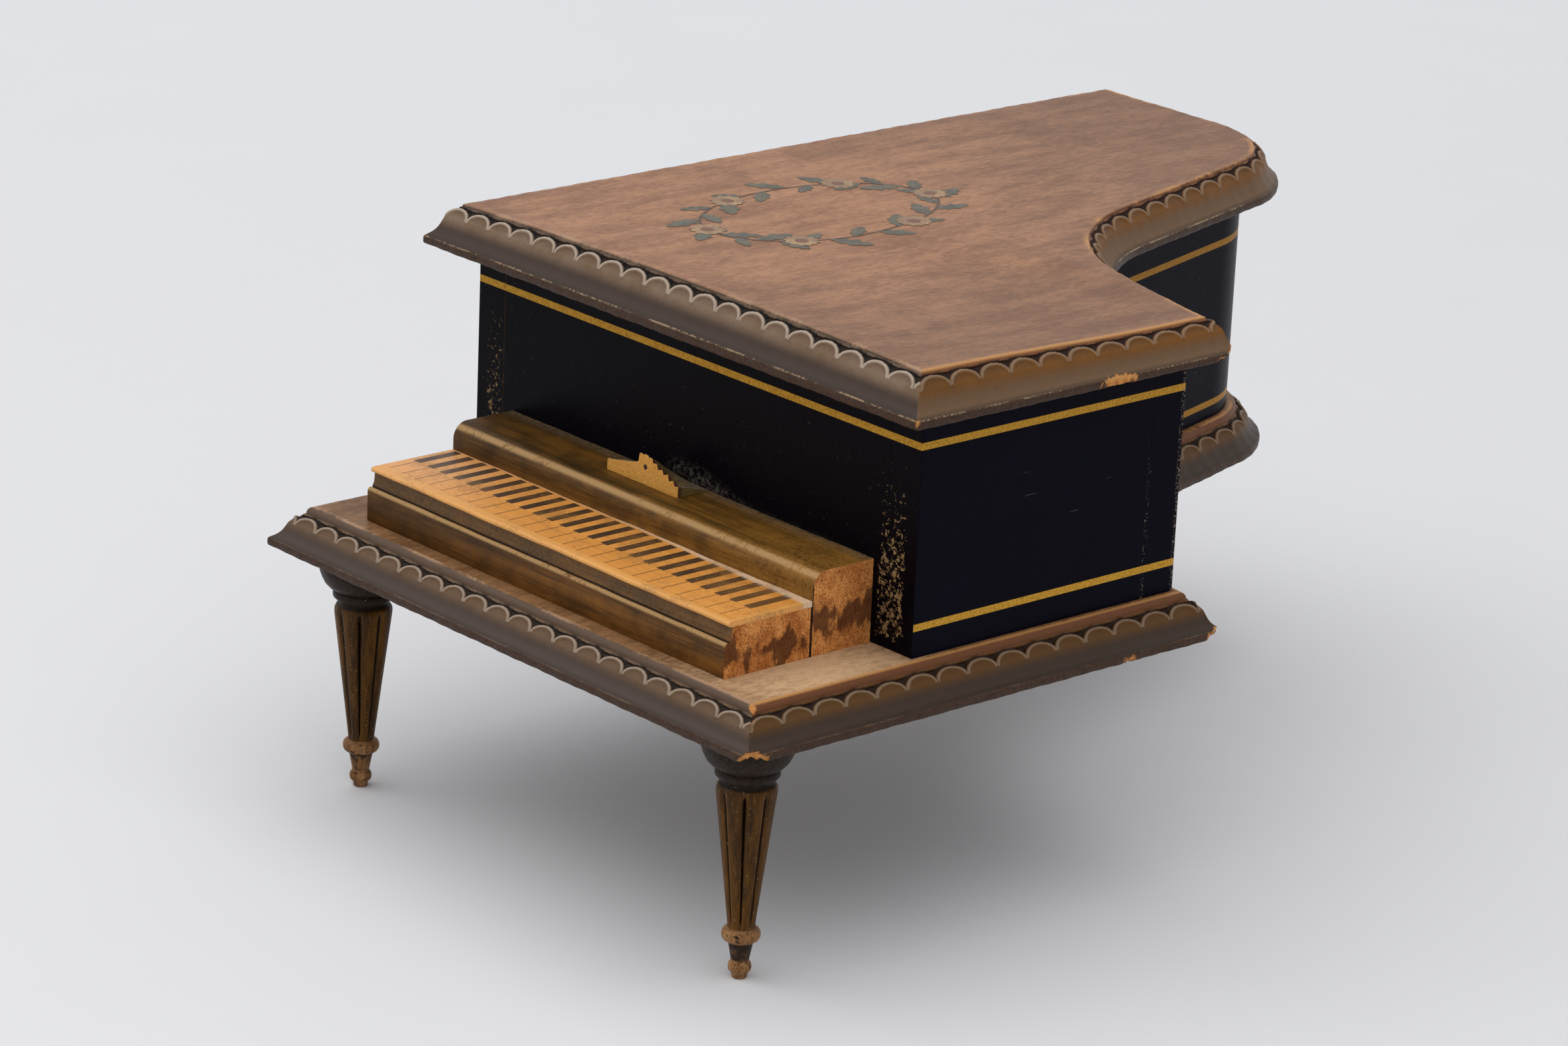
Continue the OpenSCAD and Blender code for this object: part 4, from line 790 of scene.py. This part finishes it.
# painted reflection: the black is bluish for the pale room it mirrors, and the front panel is painted a more
# neutral black without it
black = blend(tree, cloud, tone("04030c"), tone("090817"))
black = blend(tree, times(tree, on_front, 0.75), black, tone("070406"))
dust = noise(tree, where, 2.6, 2.0)
black = tint(tree, black, tone("6a6863"), dust, 0.66, 0.72, 0.1)
scratch = noise(tree, place(tree, (0.5, 0.05, 1.4)), 1.4, 2.0)
black = tint(tree, black, tone("8f8a80"), scratch, 0.735, 0.76, 0.22)
gold = tint(tree, tone("cf9d3a"), tone("9a6c22"), grit, 0.35, 0.75)
rub = span(tree, plus(tree, grit, times(tree, fine, 0.4)), 0.52, 0.42)
sag = span(tree, spot[1], cheek_end, cheek_end + 12)
sag = times(tree, sag, span(tree, spot[0], -75.0, -10.0))
level_z = plus(tree, spot[2], times(tree, sag, 3.2))
gold = blend(tree, times(tree, sag, 0.6), gold, tone("8a5a26"))
upper = between(tree, level_z, stripe_high)
upper = span(tree, upper, 0.94, 0.8)
lower = between(tree, level_z, stripe_low)
lower = times(tree, span(tree, lower, 0.94, 0.8), span(tree, spot[1], front_y + 0.1, front_y + 0.3))
line = times(tree, larger(tree, upper, lower), minus(tree, 1.0, times(tree, rub, 0.7)))
painted = blend(tree, line, black, gold)
# chipped far edge of the cheek, above all halfway up
chipped = span(tree, spot[0], half - 1.5, half - 0.1)
chipped = times(tree, chipped, span(tree, spot[1], cheek_end - 1.4, cheek_end - 0.2))
chipped = times(tree, chipped, span(tree, grit, 0.5, 0.62))
seam = between(tree, spot[1], cheek_end - wall - 0.1)
seam = times(tree, span(tree, seam, 0.7, 0.25), span(tree, spot[0], half - 0.3, half - 0.1))
flaked = times(tree, span(tree, spot[2], case_low + 40, case_low + 26), span(tree, grit, 0.56, 0.66))
chipped = larger(tree, chipped, times(tree, seam, flaked))
painted = blend(tree, times(tree, chipped, 0.8), painted, tone("9c8f7c"))
# old glue left on the front panel beside the fallboard and along its back edge
crumb = noise(tree, where, 0.95, 4.0, 0.72)
glue = tint(tree, tone("5f4323"), tone("b8996c"), fine, 0.35, 0.65)
rise_up = minus(tree, spot[2], case_low)
for middle, reach, top_end, amount in ((72.0, 5.8, 56.0, 0.37), (-73.5, 4.6, 60.0, 0.28)):
    off = between(tree, spot[0], middle)
    zone = times(tree, span(tree, off, reach, reach - 2.6), span(tree, rise_up, top_end, top_end - 40.0))
    zone = times(tree, zone, span(tree, rise_up, 1.0, 4.0))
    need = minus(tree, 0.72, times(tree, zone, amount * 0.55))
    crust = times(tree, span(tree, minus(tree, crumb, need), 0.0, 0.04), on_front)
    crust = times(tree, crust, span(tree, zone, 0.05, 0.2))
    painted = blend(tree, times(tree, crust, 0.85), painted, glue)
ledge = plus(tree, times(tree, span(tree, spot[0], 26.0, 2.0), 5.0), 20.9)
ledge = times(tree, span(tree, minus(tree, rise_up, ledge), 0.5, -3.5), span(tree, spot[0], -9.0, -2.0))
ledge = times(tree, times(tree, ledge, span(tree, spot[0], 67.0, 40.0)), on_front)
ledge = times(tree, ledge, span(tree, crumb, 0.42, 0.66))
painted = blend(tree, times(tree, ledge, 0.5), painted, tone("6f665a"))
bare = wood(tree, (0.6, 0.6, 1.0), tone("a27a4a"), tone("775330"))[0]
normal = axes(tree, tree.nodes.new("ShaderNodeNewGeometry").outputs["Normal"])
outward = plus(tree, times(tree, normal[0], plus(tree, spot[0], 40.0)),
               times(tree, normal[1], minus(tree, spot[1], front_y + 60.0)))
upward = span(tree, calc(tree, "ABSOLUTE", normal[2]), 0.8, 0.95)
plain = times(tree, span(tree, outward, 1.0, -1.0), span(tree, spot[0], half - 0.4, half - 1.0))
plain = larger(tree, plain, upward)
colour = blend(tree, plain, painted, bare)
rough = plus(tree, 0.3, times(tree, grit, 0.14))
rough = plus(tree, rough, times(tree, plain, 0.25))
waves = plus(tree, times(tree, noise(tree, where, 0.3, 2.0), 0.5), times(tree, grit, 0.12))
shader = surface(tree, colour, rough, waves, 0.12)
shader.inputs["Specular IOR Level"].default_value = 0.035


def ease_edges(piece, width, angle):
    """Rounds the edges that are sharper than the angle."""
    step = piece.modifiers.new("ease", "BEVEL")
    step.width = width / 1000
    step.segments = 2
    step.limit_method = "ANGLE"
    step.angle_limit = math.radians(angle)


def dress(name, finish, bevel):
    """Finish for a CAD node, with its edges eased by the bevel."""
    node = nodes[name]
    node.data.materials.clear()
    node.data.materials.append(finish)
    if bevel:
        close_seams(node)
        ease_edges(node, bevel, 40)


for name in ("front_panel", "cheek_panel", "tail_panel", "spine_panel"):
    dress(name, lacquer, 0.35)

# Bentside: one long board, bent to the hollow and the round tail, lacquered like the other walls.
# It runs from the cheek's far edge to the tail panel, glued to both and to the base board.
bent_gap = 1.2
side_at = 4
growth_at = 6
walk = edge_walk(0.0, bent_gap)
walk = walk[(walk[:, side_at] == bent_side) & (walk[:, growth_at] == 0)]
bent_stop = np.argmin(np.abs(walk[:, 0] - tail_c[0]) + np.abs(walk[:, 1] - case_l))
outer = walk[:bent_stop + 1, :2]
outward = walk[:bent_stop + 1, 2:4]
inner = outer - wall * outward
inner[0] = (half, inner[0][1] - (half - inner[0][0]) * math.tan(turn_a))
ring = np.concatenate((outer, inner[::-1])) + (0, front_y)
count = len(ring)
levels = (case_low + 0.02, case_low + 0.25, case_high - 0.25, case_high)
points = np.concatenate([np.column_stack((ring, np.full(count, z))) for z in levels])
faces = ring_faces(len(levels), count)
crown = (len(levels) - 1) * count
for a in range(len(outer) - 1):
    b = count - 1 - a
    faces.append((a + 1, a, b, b - 1))
    faces.append((crown + a, crown + a + 1, crown + b - 1, crown + b))
bentside = build("bentside_bent", points, faces, {}, "case", 35)
bentside.data.materials.append(lacquer)
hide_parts("bentside_panel")

# Partition: plain unstained board that keeps trinkets away from the movement.
# It is slid in between the walls and stands on the base board.
raw_board, tree = material("raw_wood")
colour, height = wood(tree, (0.08, 1.0, 1.0), tone("a8804f"), tone("7a5732"))
surface(tree, colour, plus(tree, 0.5, times(tree, height, 0.2)), height, 0.1)
dress("partition", raw_board, 0.3)

# Keyboard block: olive varnished wood, with a rounded edge, a groove and a dusty ledge under the keys.
# It is planed to one profile and sawn off at both ends, which stay raw, and is glued to the base board.
keys_half = 66
fall_d = 18
keys_front = -43.5


def long_block(name, node, profile, finish):
    """Block with one profile along the keyboard, a little uneven as planed wood is."""
    profile = np.array(profile, float)
    count = len(profile)
    stations = np.concatenate(([-keys_half], np.linspace(-keys_half + 0.6, keys_half - 0.6, 45), [keys_half]))
    points = []
    for x in stations:
        sway = 0.05 * math.sin(0.11 * x + 0.7) + 0.03 * math.sin(0.37 * x)
        for y, z in profile:
            points.append((x, y + front_y + sway * (y < -1), z + floor_z + sway * (z > 3)))
    faces = ring_faces(len(stations), count) + end_faces(len(stations), count)
    piece = build(name, points, [f[::-1] for f in faces], {}, "case", 40)
    piece.data.materials.append(finish)
    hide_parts(node)
    return piece


def rounded(y, z, radius, count, start=0.0):
    """Points of a round edge, from the start angle up to its flat top."""
    angles = np.linspace(start, math.pi / 2, count)
    return [(y + radius * (1 - math.cos(a)), z + radius * math.sin(a)) for a in angles]


def block_finish(name, light, dark, wear_and_highlight_y, wear_and_highlight_z, wide, ledge, stain_z):
    """Olive varnish with lengthwise grain, painted shade towards the left end and painted light on the right
    of the top, a line along one edge that is partly wear and partly painted highlight, stained raw wood at
    the ends.
    """
    made, tree = material(name)
    where = place(tree)
    spot = axes(tree, where)
    grit = noise(tree, where, 1.2, 4.0, 0.65)
    cloud = noise(tree, where, 0.12, 4.0)
    colour, height = wood(tree, (0.05, 1.3, 1.3), tone(light), tone(dark))
    colour = tint(tree, colour, tone("33230f"), cloud, 0.4, 0.7, 0.6)
    # painted shade towards the left (bass) end
    colour = tint(tree, colour, tone("2c1c0b"), spot[0], 25.0, -66.0, 0.55)
    # painted light on the right part of the fallboard's top
    painted_light_right = times(tree, span(tree, spot[0], 15.0, 64.0), span(tree, grit, 0.3, 0.6))
    painted_light_right = times(tree, painted_light_right, span(tree, spot[2], floor_z + 12.5, floor_z + 14.5))
    colour = blend(tree, times(tree, painted_light_right, 0.35), colour, tone("b47f38"))
    reach_y = minus(tree, spot[1], front_y + wear_and_highlight_y)
    reach_z = minus(tree, spot[2], floor_z + wear_and_highlight_z)
    reach = reach_of(tree, reach_y, reach_z)
    # line along the rounded edge: partly wear, partly a painted highlight
    worn = times(tree, span(tree, reach, wide, 0.3), span(tree, plus(tree, grit, cloud), 0.6, 1.0))
    colour = blend(tree, times(tree, worn, 0.75), colour, tone("bd9764"))
    film = times(tree, span(tree, spot[1], front_y - 5.0, front_y - 0.5), span(tree, grit, 0.3, 0.6))
    colour = blend(tree, times(tree, film, 0.5), colour, tone("7d6d58"))
    if ledge:
        dusty = times(tree, span(tree, spot[2], floor_z + ledge - 0.2, floor_z + ledge + 0.3),
                     span(tree, grit, 0.3, 0.6))
        colour = blend(tree, times(tree, dusty, 0.35), colour, tone("75654c"))
        groove = between(tree, spot[2], floor_z + ledge - 0.25)
        groove = times(tree, span(tree, groove, 0.4, 0.15), span(tree, reach_y, 0.35, 0.6))
        colour = blend(tree, times(tree, groove, 0.9), colour, tone("1c140c"))
    raw, raw_height = wood(tree, (1.0, 1.2, 1.2), tone("e39a54"), tone("a8622d"))
    stain_off = between(tree, spot[2], floor_z + stain_z)
    soak = noise(tree, place(tree, (1.0, 1.6, 0.7)), 0.16, 3.0, 0.5)
    soak = plus(tree, soak, times(tree, minus(tree, 0.4 * stain_z, stain_off), 0.045))
    raw = tint(tree, raw, tone("472413"), soak, 0.48, 0.58, 0.82)
    speckle = noise(tree, where, 2.0, 3.0)
    raw = tint(tree, raw, tone("4a2814"), speckle, 0.52, 0.62, 0.6)
    seam = between(tree, spot[1], front_y - fall_d)
    raw = tint(tree, raw, tone("160d07"), seam, 0.5, 0.2)
    normal = axes(tree, tree.nodes.new("ShaderNodeNewGeometry").outputs["Normal"])
    end = span(tree, calc(tree, "ABSOLUTE", normal[0]), 0.6, 0.9)
    colour = blend(tree, end, colour, raw)
    rough = plus(tree, 0.36, times(tree, grit, 0.2))
    rough = plus(tree, rough, times(tree, end, 0.25))
    bumps = plus(tree, height, times(tree, times(tree, raw_height, end), 2.0))
    shader = surface(tree, colour, rough, bumps, 0.2)
    shader.inputs["Specular IOR Level"].default_value = 0.14
    return made


keys_back = -fall_d - 0.05
block_profile = [(keys_back, 0), (keys_front + 0.2, 0), (keys_front, 0.3)]
block_profile += rounded(keys_front, 7.5, 0.9, 7)
block_profile += [
    (keys_front + 1.1, 8.15), (keys_front + 1.35, 8.2), (keys_front + 1.5, 8.7), (keys_front + 1.9, 9.6),
    (keys_front + 2.1, 11.98), (keys_back, 11.98)]
block_wood = block_finish(
    "keyboard_wood", light="835520", dark="4d3012",
    wear_and_highlight_y=keys_front + 0.5, wear_and_highlight_z=8.2, wide=1.0, ledge=8.6, stain_z=4.6)
keyboard = long_block("keyboard_moulded", "keyboard_block", block_profile, block_wood)

# Key strip: thin pale board with a rounded front, glued on the keyboard block.
# The keys are printed on it in black, and the print is faded at the treble end.
key_pitch = 5.15
first_key = -63.1
bar_front = -32.8
bar_back = -19.8
line_front = -40.8
strip_profile = rounded(keys_front + 0.9, 12.65, 0.65, 9, -math.pi / 2)
strip_profile += [(keys_back, 13.3), (keys_back, 12.0)]
strip_print, tree = material("printed_keys")
where = place(tree)
spot = axes(tree, where)
grit = noise(tree, where, 1.4, 4.0, 0.65)
cloud = noise(tree, where, 0.1, 3.0)
ground, height = wood(tree, (0.06, 1.0, 1.0), tone("e39a45"), tone("cf8834"))
ground = tint(tree, ground, tone("e8ae78"), spot[0], -20.0, -66.0, 0.5)
turns = calc(tree, "DIVIDE", minus(tree, spot[0], first_key), key_pitch)
apart = times(tree, between(tree, turns, calc(tree, "ROUND", turns)), key_pitch)
depth = minus(tree, spot[1], front_y)
depth = plus(tree, depth, times(tree, minus(tree, spot[0], 60.0), 0.012))
ends = times(tree, span(tree, spot[0], -65.0, -64.8), span(tree, spot[0], 62.2, 62.0))
bar = times(tree, span(tree, apart, 1.35, 1.2), span(tree, depth, bar_front, bar_front + 0.3))
bar = times(tree, bar, span(tree, depth, bar_back, bar_back - 0.3))
thin = times(tree, span(tree, apart, 0.26, 0.14), span(tree, depth, line_front, line_front + 0.3))
thin = times(tree, thin, span(tree, depth, bar_front + 0.8, bar_front + 0.4))
faded = plus(tree, times(tree, span(tree, spot[0], 38.0, 60.0), 0.12), times(tree, cloud, 0.15))
ink = times(tree, larger(tree, bar, times(tree, thin, 0.75)), ends)
ink = times(tree, ink, minus(tree, 1.0, faded))
colour = blend(tree, ink, ground, tone("120c08"))
margin = larger(tree, span(tree, depth, -40.7, -41.0), span(tree, spot[0], 64.6, 65.0))
colour = blend(tree, times(tree, margin, 0.6), colour, tone("e2a557"))
film = plus(tree, depth, times(tree, span(tree, spot[0], 0.0, 60.0), 1.3))
dusty = times(tree, span(tree, film, -20.0, -18.6), span(tree, grit, 0.25, 0.55))
colour = blend(tree, times(tree, dusty, 0.7), colour, tone("d8cdb8"))
colour = tint(tree, colour, tone("8a5f2e"), plus(tree, grit, cloud), 0.98, 1.25, 0.5)
surface(tree, colour, plus(tree, 0.38, times(tree, grit, 0.2)), height, 0.06)
key_strip = long_block("key_strip_printed", "key_strip", strip_profile, strip_print)

# Fallboard block: the same varnished wood, with a rounded front edge and raw ends.
# It is glued to the base board behind the keyboard, and against the case.
fall_h = 20
fall_round = 4
fall_profile = [(0, 0), (-fall_d, 0)] + rounded(-fall_d, fall_h - fall_round, fall_round, 11) + [(0, fall_h)]
fall_wood = block_finish(
    "fallboard_wood", light="855a20", dark="45300f",
    wear_and_highlight_y=-fall_d + 1.5, wear_and_highlight_z=18.9, wide=1.3, ledge=0.0, stain_z=8.5)
fallboard = long_block("fallboard_rounded", "fallboard_block", fall_profile, fall_wood)

# Music desk: fretted crest of thin wood, gilt on its front and olive behind, glued on the fallboard.
# Its treble part is broken away in steps, which leave torn wood.
desk_x = -4.6
desk_d = 9.7
desk_slices = 9
crest = np.array((
    (-13.0, 0), (-13.0, 2.6), (-12.5, 2.95), (-10.0, 3.25), (-7.0, 3.9), (-4.5, 4.35), (-1.8, 5.0),
    (-1.5, 5.6), (-1.3, 7.1), (-0.7, 7.55), (0.2, 7.2), (0.9, 7.6), (1.8, 7.5), (2.2, 6.9), (3.4, 7.15),
    (3.7, 5.9), (5.2, 6.2), (5.5, 4.7), (7.2, 5.2), (7.6, 4.2), (9.2, 4.7), (9.6, 3.4), (11.2, 3.9),
    (11.6, 2.7), (13.0, 2.9), (13.0, 0)))
points = []
for share in np.linspace(0, 1, desk_slices):
    shrink = 1 - 0.94 * share
    for x, z in crest:
        ragged = 0.2 * math.sin(3.7 * x + 9 * share) * (x > 2.0) * (z > 0.3) * (1 - share)
        height = floor_z + fall_h + (z + ragged) * shrink
        points.append((desk_x + x, front_y - desk_d * (1 - share), height))
faces = ring_faces(desk_slices, len(crest)) + end_faces(desk_slices, len(crest))
desk = build("music_desk_broken", points, faces, {}, "case", 30)
ease_edges(desk, 0.15, 35)
gilt, tree = material("gilt")
where = place(tree)
spot = axes(tree, where)
grit = noise(tree, where, 2.2, 4.0, 0.7)
speck = noise(tree, where, 5.0, 2.0)
leaf_gold = tint(tree, tone("e6a845"), tone("bd8030"), grit, 0.35, 0.75)
leaf_gold = tint(tree, leaf_gold, tone("5c3f1c"), speck, 0.58, 0.68, 0.7)
normal = axes(tree, tree.nodes.new("ShaderNodeNewGeometry").outputs["Normal"])
face = span(tree, normal[1], -0.5, -0.85)
olive = wood(tree, (1.0, 0.1, 1.0), tone("7f6a38"), tone("57451f"))[0]
torn = tint(tree, tone("6b3c20"), tone("2f1a0e"), grit, 0.4, 0.65)
dusty = tint(tree, tone("8d7d68"), tone("6a5a45"), grit, 0.3, 0.65)
rest = tint(tree, olive, dusty, normal[2], 0.3, 0.7)
near = span(tree, spot[1], front_y - desk_d + 1.6, front_y - desk_d + 0.6)
rest = blend(tree, times(tree, near, span(tree, spot[0], desk_x + 2.0, desk_x + 3.0)), rest, torn)
colour = blend(tree, face, rest, leaf_gold)
# painted shade: the pin hole is not cut, a near-black spot on the gilt face stands for it
hole_x = minus(tree, spot[0], desk_x + 1.0)
hole_z = minus(tree, spot[2], floor_z + fall_h + 4.4)
hole = reach_of(tree, hole_x, hole_z)
colour = tint(tree, colour, tone("0c0704"), hole, 0.75, 0.55, face)
surface(tree, colour, plus(tree, 0.42, times(tree, grit, 0.25)), grit, 0.2)
desk.data.materials.append(gilt)
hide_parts("music_desk")


# Movement: iron bedplate screwed to the base board, with a spring that is wound by a key from below.
# The brass barrel drives a pinned cylinder past a steel comb, and a worm with a fan brakes it.
def metal(name, light, dark, rough, brushed):
    """Bare metal with brushing, a little tarnish and uneven gloss."""
    made, tree = material(name)
    where = place(tree)
    lines = noise(tree, place(tree, brushed), 1.5, 4.0, 0.7)
    cloud = noise(tree, where, 0.25, 4.0, 0.6)
    spots = noise(tree, where, 1.1, 3.0, 0.6)
    colour = tint(tree, tone(light), tone(dark), cloud, 0.35, 0.7)
    colour = tint(tree, colour, tone("3a2f22"), spots, 0.62, 0.75, 0.4)
    gloss = plus(tree, rough, times(tree, lines, 0.2))
    gloss = plus(tree, gloss, times(tree, span(tree, spots, 0.55, 0.75), 0.2))
    shader = surface(tree, colour, gloss, lines, 0.02)
    shader.inputs["Metallic"].default_value = 1.0
    return made


brass = metal("brass", "d6b36a", "b08a45", 0.2, (1.0, 0.15, 1.0))
steel = metal("steel", "c6c8cc", "9b9ea4", 0.2, (1.0, 0.2, 1.0))
spring_steel = metal("spring_steel", "5d6672", "3c424e", 0.25, (1.0, 1.0, 0.2))
bed_iron = metal("bed_iron", "c9c2ae", "a59d88", 0.38, (0.2, 1.0, 1.0))
dress("bedplate", bed_iron, 0.25)
for name in (
        "spring_barrel", "barrel_cover", "barrel_bridge", "bridge_pillars", "bearing_left", "bearing_right",
        "pinned_cylinder", "cylinder_gear", "governor_frame", "worm_wheel", "governor_fan", "winding_key"):
    dress(name, brass, 0.12)
for name in (
        "bedplate_screws", "bridge_screws", "bracket_screws", "comb_screws", "winding_arbor", "ratchet_wheel",
        "click", "cylinder_arbor", "cylinder_pinion", "comb", "transfer_arbor", "worm", "stop_lever"):
    dress(name, steel, 0.06)
dress("cylinder_pins", steel, 0.0)
for name in ("mainspring", "click_spring"):
    dress(name, spring_steel, 0.04)

# Hinges: two brass butt hinges with steel pins, dull with age.
# Their leaves are let into the spine's top edge and the lid's underside, with small screws.
hinge_brass = metal("hinge_brass", "b8975a", "8a6c3a", 0.3, (0.2, 1.0, 1.0))
for name in ("hinge_case_leaves", "hinge_lid_leaves", "hinge_case_screws", "hinge_lid_screws"):
    dress(name, hinge_brass, 0.1)
dress("hinge_pins", steel, 0.06)

# Lid: stained board with the same carved edge as the base, turning on the hinges along the spine.
# It has bowed with age, and its far treble corner is broken off.
lid_low = 1000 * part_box("lid")[0].z
lid_high = 1000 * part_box("lid")[1].z
lid_nose = front_y - 1000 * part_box("lid")[0].y - lip_out


def lid_warp(x, y, share):
    """How far the old board has bowed: up along the middle of the front, down at the far treble corner."""
    bow = 1.7 * np.clip(1 - ((x - 8) / 92) ** 2, 0, 1) * np.exp(-np.clip(y + 4, 0, None) / 45)
    hollow_shade = ease(x, 45, 80) * ease(y, 5, 75) * (1 - ease(y, 92, 120))
    return share * bow - 1.3 * hollow_shade * share


lid_fillet = 0.7
lid_round = 0.45
lid = carved_board(
    "lid_carved", lid_low, lid_high - lid_low, lid_nose, lid_fillet, lid_round,
    pitches=((8.45, -81.5), (9.0, -2.0), (9.0, 5.0), (9.0, 0.0)),
    chips=(
        ((half + 9.0, front_y - lid_nose - 9.0, lid_low + 1.6), (0.6, -0.6, 0.5), 12.0),
        ((half + 7.3, cheek_end + 6.2, lid_low + 3.0), (0.75, 0.62, -0.05), 90.0),
        ((half + 7.6, cheek_end + 4.5, lid_low + 1.4), (0.2, 0.25, -0.95), 60.0),
        ((half + 8.7, front_y + 51.6, lid_low + 0.9), (0.9, 0.0, 0.1), 40.0)),
    warp=lid_warp,
    body="lid")
hinge_places = (35, 170)
hinge_half = 11.1
leaf_end = -half + 7.6
leaf_top = lid_low + 0.95
knuckle_l = 22.6
pin_low, pin_high = (1000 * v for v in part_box("hinge_pins"))
pin_x = (pin_low.x + pin_high.x) / 2
pin_z = (pin_low.z + pin_high.z) / 2
pockets = []
for place_y in hinge_places:
    middle = front_y + place_y
    near = (pin_x, middle - hinge_half, lid_low - 1)
    far = (leaf_end, middle + hinge_half, leaf_top)
    pockets.append(("box", near, far))
    pockets.append(("hole", (pin_x, middle, pin_z), 2.0, (0, 1, 0), knuckle_l))
cut_away(lid, pockets, 50)
lid.data.materials.clear()
lid.data.materials.append(carved_wood(
    "lid_wood",
    top=(tone("b0805d"), tone("8c6145")),
    right=(tone("744916"), tone("694f36")),
    front=(tone("7f6853"), tone("3f3026")),
    cuts=(tone("2a150c"), tone("080504")),
    glow=tone("b3a291"),
    fillet_h=lid_fillet, round_r=lid_round,
    edge_wear=0.14, lip_wear_and_highlight=0.5, vignette=0.4, pale=None))
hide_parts("lid")

# Garland: an oval of leaves with plain rosettes, painted on the lid by hand.
# Each touch is a thin face that follows the lid's top, and the paint is worn like the wood.
garland_w = 21
garland_l = 34
garland_stem = 0.015
stem_paint, leaf_paint, petal_paint, heart_paint = range(4)
oval = np.array((-31.0, front_y + 66.0))
lid.data.calc_loop_triangles()
lid_points = [v.co for v in lid.data.vertices]
lid_top = BVHTree.FromPolygons(lid_points, [t.vertices for t in lid.data.loop_triangles])
garland_points = []
garland_faces = []
garland_kind = []


def on_oval(angle, share=1.0):
    """Place on the garland's oval, or on a share of it."""
    return oval + share * np.array((garland_w * math.cos(angle), garland_l * math.sin(angle)))


def daub(outline, kind, lift):
    """One flat touch of paint, laid on the lid's top."""
    start = len(garland_points)
    for x, y in outline:
        hit = lid_top.ray_cast(Vector((x, y, 1000 + lid_high)) / 1000, Vector((0, 0, -1)))[0]
        garland_points.append((x, y, 1000 * hit.z + 0.04 + lift))
        garland_kind.append(kind)
    garland_faces.append(list(range(start, len(garland_points))))


stems = 64
leaves = 30
rosettes = 6
stem_in = 1 - garland_stem
stem_out = 1 + garland_stem
for k in range(stems):
    a = 2 * math.pi * k / stems
    b = 2 * math.pi * (k + 1) / stems
    corners = [on_oval(a, stem_in), on_oval(a, stem_out), on_oval(b, stem_out), on_oval(b, stem_in)]
    daub(corners, stem_paint, 0.03)
for k in range(leaves):
    a = 2 * math.pi * k / leaves
    root = on_oval(a)
    way = math.atan2(garland_l * math.cos(a), -garland_w * math.sin(a)) + (0.75 if k % 2 else -0.75)
    along = np.array((math.cos(way), math.sin(way)))
    across = np.array((-along[1], along[0]))
    size = 9.5 + 1.8 * math.sin(2.3 * k)
    blade = []
    for t in np.linspace(0, 1, 15):
        blade.append((t, 0.2 * math.sin(math.pi * t) ** 0.8 * (1 + 0.25 * math.cos(7 * math.pi * t))))
    near_edge = [root + size * (t * along + w * across) for t, w in blade]
    far_edge = [root + size * (t * along - w * across) for t, w in blade[-2:0:-1]]
    daub(near_edge + far_edge, leaf_paint, 0.04 + 0.001 * k)
for k in range(rosettes):
    middle = on_oval(2 * math.pi * k / rosettes + 0.4)
    for reach, scallop, kind, lift in ((4.6, 0.2, petal_paint, 0.09), (1.7, 0.0, heart_paint, 0.11)):
        petals = []
        for c in np.linspace(0, 2 * math.pi, 48, endpoint=False):
            far = reach * (1 - scallop * math.cos(6 * c) ** 2)
            petals.append(middle + far * np.array((math.cos(c), math.sin(c))))
        daub(petals, kind, lift)
garland = build("lid_garland", garland_points, garland_faces, {"kind": garland_kind}, "lid", 30)
paint, tree = material("old_paint")
where = place(tree)
kind = mark(tree, "kind")
grit = noise(tree, where, 1.5, 4.0, 0.7)
cloud = noise(tree, where, 0.25, 3.0)
leaf_green = tint(tree, tone("3d4540"), tone("565a4d"), cloud, 0.35, 0.65)
petal_tan = tint(tree, tone("a98a62"), tone("8d6f56"), cloud, 0.4, 0.6)
colour = tint(tree, tone("4b3427"), leaf_green, kind, 0.4, 0.6)
colour = tint(tree, colour, petal_tan, kind, 1.4, 1.6)
colour = tint(tree, colour, tone("6d4434"), kind, 2.4, 2.6)
colour = tint(tree, colour, tone("82603f"), grit, 0.48, 0.62, 0.8)
surface(tree, colour, plus(tree, 0.42, times(tree, grit, 0.2)))
garland.data.materials.append(paint)

# Size of both models
size = {"cad": [list(v) for v in cad_box], "visual": [list(v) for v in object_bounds()]}
